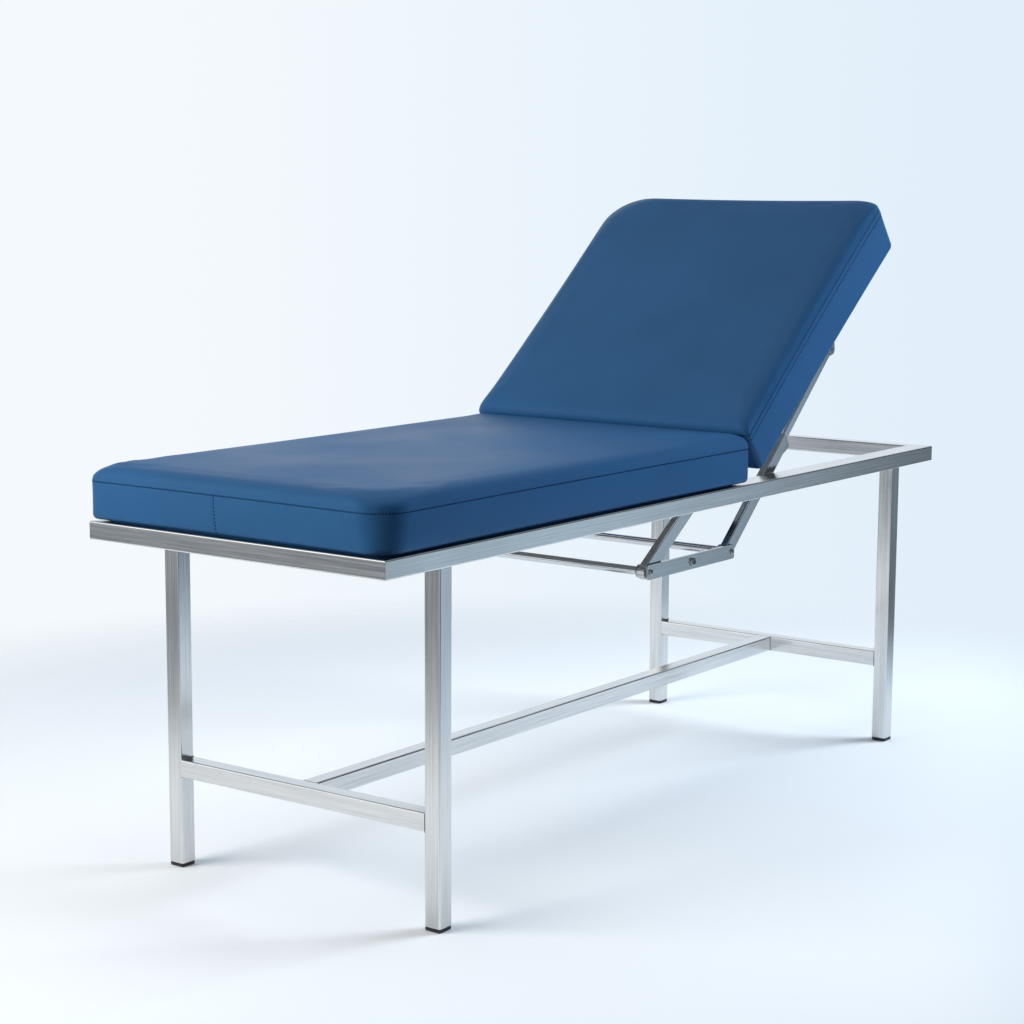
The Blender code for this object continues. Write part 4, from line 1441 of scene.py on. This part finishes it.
@dataclass(frozen=True)
class Softbox:
    """A square lamp that faces the table, and that glossy surfaces don't show."""

    name: str
    at: Point
    size: float
    power: float
    colour: str
    aim: Point = (0.0, 0.0, 0.6)
    spread: float = math.radians(120)

    def build(self) -> None:
        """Hang the lamp."""
        data = bpy.data.lights.new(self.name, "AREA")
        data.shape = "SQUARE"
        data.size = self.size
        data.spread = self.spread
        data.energy = self.power
        data.color = linear(self.colour)[:3]
        lamp = bpy.data.objects.new(self.name, data)
        lamp.visible_glossy = False
        lamp.location = self.at
        lamp.rotation_euler = (Vector(self.aim) - Vector(self.at)).to_track_quat("-Z", "Y").to_euler()
        bpy.context.scene.collection.objects.link(lamp)


LAMPS = (
    Softbox("left softbox", (-3.1, 1.6, 1.72), 2.3, 57.0, "#fffaf4"),
    Softbox("right softbox", (2.8, -2.3, 2.0), 2.0, 74.0, "#e9f4ff"),
    Softbox("top softbox", (-0.1, 0.4, 3.4), 3.0, 10.5, "#fff4e6"),
)


def shade_towards(
    tree: NodeTree,
    place: NodeSocket,
    axis: Point,
    span: Pair,
    colours: Sequence[NodeSocket | Colour],
) -> NodeSocket:
    """Change a colour softly along an axis.

    Args:
        tree: The tree of a world or a material.
        place: The direction or the place to shade.
        axis: The axis.
        span: How far along the axis the change starts and ends.
        colours: The colour before the span and the one after it.

    Returns:
        The socket with the colour.
    """
    dot = add_node(tree, "ShaderNodeVectorMath", {"operation": "DOT_PRODUCT"}, {0: place, 1: axis})
    reach = {"Value": dot.outputs["Value"], "From Min": span[0], "From Max": span[1]}
    share = add_node(tree, "ShaderNodeMapRange", {"interpolation_type": "SMOOTHSTEP"}, reach)
    ends = {0: share.outputs["Result"], 6: colours[0], 7: colours[1]}
    return add_node(tree, "ShaderNodeMix", {"data_type": "RGBA"}, ends).outputs[2]


@dataclass(frozen=True)
class Studio:
    """A pale floor, soft light and the camera at the photograph's angle.

    The pairs say how far along an axis a change of the surroundings starts and ends: of a direction for the
    world, in metres for the floor.
    """

    eye: Point = (-3.5120, -2.4582, 1.2180)
    yaw: float = 0.6347
    pitch: float = 0.1493
    roll: float = 0.0048
    lens: float = 78.134
    sensor: float = 36.0
    sight: float = 200.0
    ambient: str = "#cbe4fb"
    ambient_strength: float = 0.58
    ambient_front: Pair = (-0.6, 0.25)
    behind: str = "#1f2327"
    backdrop_left: str = "#f4f9fd"
    backdrop_right: str = "#e2effa"
    backdrop_turn: Pair = (-0.2, 0.22)
    sweep: str = "#ebf4fd"
    room: str = "#45494e"
    room_side: Pair = (0.25, 0.8)
    ceiling: str = "#8a9198"
    ceiling_rise: Pair = (0.35, 0.75)
    ground: str = "#dfe4e8"
    ground_near: Pair = (-0.26, -0.205)
    horizon: Pair = (-0.175, -0.065)
    window: str = "#c8e0f3"
    window_at: Point = (0.800, -0.590, -0.112)
    window_edge: Pair = (0.985, 0.9990)
    glow: Colour = (1.65, 1.62, 1.58, 1.0)
    glow_at: Point = (-0.70, 0.60, 0.39)
    glow_edge: Pair = (0.91, 0.985)
    floor: str = "#fafcfe"
    # Painted shade: the floor's colour darkens to a blue grey towards the right front
    floor_painted_shade: str = "#cdd6de"
    floor_painted_shade_at: Point = (0.397, -0.918, 0.0)
    floor_painted_shade_reach: Pair = (0.7, 1.4)
    floor_fade: Pair = (1.25, 2.3)
    floor_radius: float = 9.0
    floor_sides: int = 96
    floor_roughness: float = 0.9
    floor_specular: float = 0.1

    def build(self) -> None:
        """Make the camera, the world, the lamps and the floor."""
        self.build_camera()
        self.build_world()
        for lamp in LAMPS:
            lamp.build()
        self.build_floor()
        bpy.context.scene.view_settings.view_transform = "Standard"

    def build_camera(self) -> None:
        """Set the camera where the photograph was taken from."""
        level = math.cos(self.pitch)
        ahead = (math.cos(self.yaw) * level, math.sin(self.yaw) * level, -math.sin(self.pitch))
        forward = Vector(ahead)
        right = Vector((math.sin(self.yaw), -math.cos(self.yaw), 0))
        up = right.cross(forward)
        tilt = math.cos(self.roll), math.sin(self.roll)
        right, up = tilt[0] * right + tilt[1] * up, tilt[0] * up - tilt[1] * right
        data = bpy.data.cameras.new("photograph")
        data.lens = self.lens
        data.sensor_width = self.sensor
        data.clip_end = self.sight
        camera = bpy.data.objects.new("photograph", data)
        turn = Matrix((right, up, -forward)).transposed().to_4x4()
        camera.matrix_world = Matrix.Translation(self.eye) @ turn
        bpy.context.scene.collection.objects.link(camera)
        bpy.context.scene.camera = camera

    def build_world(self) -> None:
        """Light the scene softly from all round, and show a pale backdrop to the camera and in metal."""
        world = bpy.data.worlds.new("studio")
        world.use_nodes = True
        tree = world.node_tree
        tree.nodes.clear()
        direction = add_node(tree, "ShaderNodeTexCoord").outputs["Generated"]
        ahead = (math.cos(self.yaw), math.sin(self.yaw), 0.0)
        aside = (math.sin(self.yaw), -math.cos(self.yaw), 0.0)
        above = (0.0, 0.0, 1.0)
        room = linear(self.room)

        def shade(axis: Point, span: Pair, *colours: NodeSocket | Colour) -> NodeSocket:
            """Return a colour that changes as the direction turns towards an axis."""
            return shade_towards(tree, direction, axis, span, colours)

        soft = shade(ahead, self.ambient_front, linear(self.behind), linear(self.ambient))
        lit = {"Color": soft, "Strength": self.ambient_strength}
        light = add_node(tree, "ShaderNodeBackground", None, lit).outputs["Background"]
        wall = shade(aside, self.room_side, linear(self.sweep), room)
        wall = shade(above, self.ceiling_rise, wall, linear(self.ceiling))
        ground = shade(aside, self.room_side, linear(self.ground), room)
        ground = shade(above, self.ground_near, ground, room)
        metal = shade(above, self.horizon, ground, wall)
        metal = shade(self.glow_at, self.glow_edge, metal, self.glow)
        metal = shade(self.window_at, self.window_edge, metal, linear(self.window))
        view = shade(aside, self.backdrop_turn, linear(self.backdrop_left), linear(self.backdrop_right))
        path = add_node(tree, "ShaderNodeLightPath").outputs
        camera = path["Is Camera Ray"]
        either = {0: camera, 6: metal, 7: view}
        seen = add_node(tree, "ShaderNodeMix", {"data_type": "RGBA"}, either).outputs[2]
        shown = add_node(tree, "ShaderNodeBackground", None, {"Color": seen}).outputs["Background"]
        direct = camera
        for ray in ("Is Glossy Ray", "Is Transmission Ray"):
            either = {0: direct, 1: path[ray]}
            direct = add_node(tree, "ShaderNodeMath", {"operation": "MAXIMUM"}, either).outputs["Value"]
        sides = {0: direct, 1: light, 2: shown}
        mixed = add_node(tree, "ShaderNodeMixShader", None, sides).outputs["Shader"]
        add_node(tree, "ShaderNodeOutputWorld", None, {"Surface": mixed})
        bpy.context.scene.world = world

    def build_floor(self) -> None:
        """Lay a round floor that keeps the table's shadow, darkens towards the right front with painted
        shade, and fades into the backdrop.
        """
        mesh = bpy.data.meshes.new("floor")
        builder = bmesh.new()
        size = {"segments": self.floor_sides, "radius": self.floor_radius}
        bmesh.ops.create_circle(builder, cap_ends=True, **size)
        builder.to_mesh(mesh)
        builder.free()
        floor = bpy.data.objects.new("floor", mesh)
        finish = bpy.data.materials.new("pale studio floor")
        finish.use_nodes = True
        tree = finish.node_tree
        shader = tree.nodes["Principled BSDF"]
        shader.inputs["Roughness"].default_value = self.floor_roughness
        shader.inputs["Specular IOR Level"].default_value = self.floor_specular
        spot = add_node(tree, "ShaderNodeTexCoord").outputs["Object"]
        # Painted shade: the floor's colour turns to a darker blue grey towards the right front
        colours = (linear(self.floor), linear(self.floor_painted_shade))
        tint = shade_towards(tree, spot, self.floor_painted_shade_at, self.floor_painted_shade_reach, colours)
        tree.links.new(tint, shader.inputs["Base Color"])
        reach = add_node(tree, "ShaderNodeVectorMath", {"operation": "LENGTH"}, {0: spot}).outputs["Value"]
        span = {"Value": reach, "From Min": self.floor_fade[0], "From Max": self.floor_fade[1]}
        fade = add_node(tree, "ShaderNodeMapRange", {"interpolation_type": "SMOOTHSTEP"}, span)
        clear = add_node(tree, "ShaderNodeBsdfTransparent").outputs["BSDF"]
        sides = {0: fade.outputs["Result"], 1: shader.outputs["BSDF"], 2: clear}
        mixed = add_node(tree, "ShaderNodeMixShader", None, sides).outputs["Shader"]
        tree.links.new(mixed, tree.nodes["Material Output"].inputs["Surface"])
        mesh.materials.append(finish)
        bpy.context.scene.collection.objects.link(floor)


def make_pads() -> list[Pad]:
    """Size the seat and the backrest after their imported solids.

    Returns:
        The two pads.
    """
    seat = Pad(
        stem="seat",
        body="frame",
        place=Matrix.Translation((0.153, 0, 0)) @ Matrix.Rotation(math.pi, 4, "Z"),
        length=1.092,
        rim=0.643,
        boxing=0.065,
        board_low=RAIL_TOP + GAP,
        domes=(0.050, 0.050),
        free_corners=(0.060, 0.012),
        swell=0.0,
        stitch_drop=0.0,
        joint_y=-0.038,
    )
    lean = Matrix.Translation(HINGE) @ Matrix.Rotation(-BACKREST_ANGLE, 4, "Y")
    backrest = Pad(
        stem="backrest",
        body="backrest",
        place=lean @ Matrix.Translation((0.0127, 0, 0)),
        length=0.684,
        rim=BACK_LEVEL,
        boxing=0.0925,
        edge_radius=0.0245,
        crease_ease=1.5,
        board_low=BACK_LEVEL,
        domes=(0.105, 0.070),
        free_corners=(0.072, 0.022),
        rim_rounding=0.012,
        swell=0.014,
        stitch_drop=0.012,
        welt=0.012,
        groove_depth=0.0040,
        groove_reach=0.0038,
        long_steps=70,
    )
    return [seat, backrest]


def main() -> None:
    """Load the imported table, dress its sub-assemblies and light it."""
    logging.basicConfig(level=logging.INFO, format="%(name)s: %(message)s")
    for item in list(bpy.data.objects):
        bpy.data.objects.remove(item, do_unlink=True)
    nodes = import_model()["nodes"]
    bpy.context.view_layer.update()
    for part in (Frame(), Cradle(), Struts(), *make_pads()):
        part.dress(nodes)
        part.build()
    Studio().build()


if __name__ == "__main__":
    main()
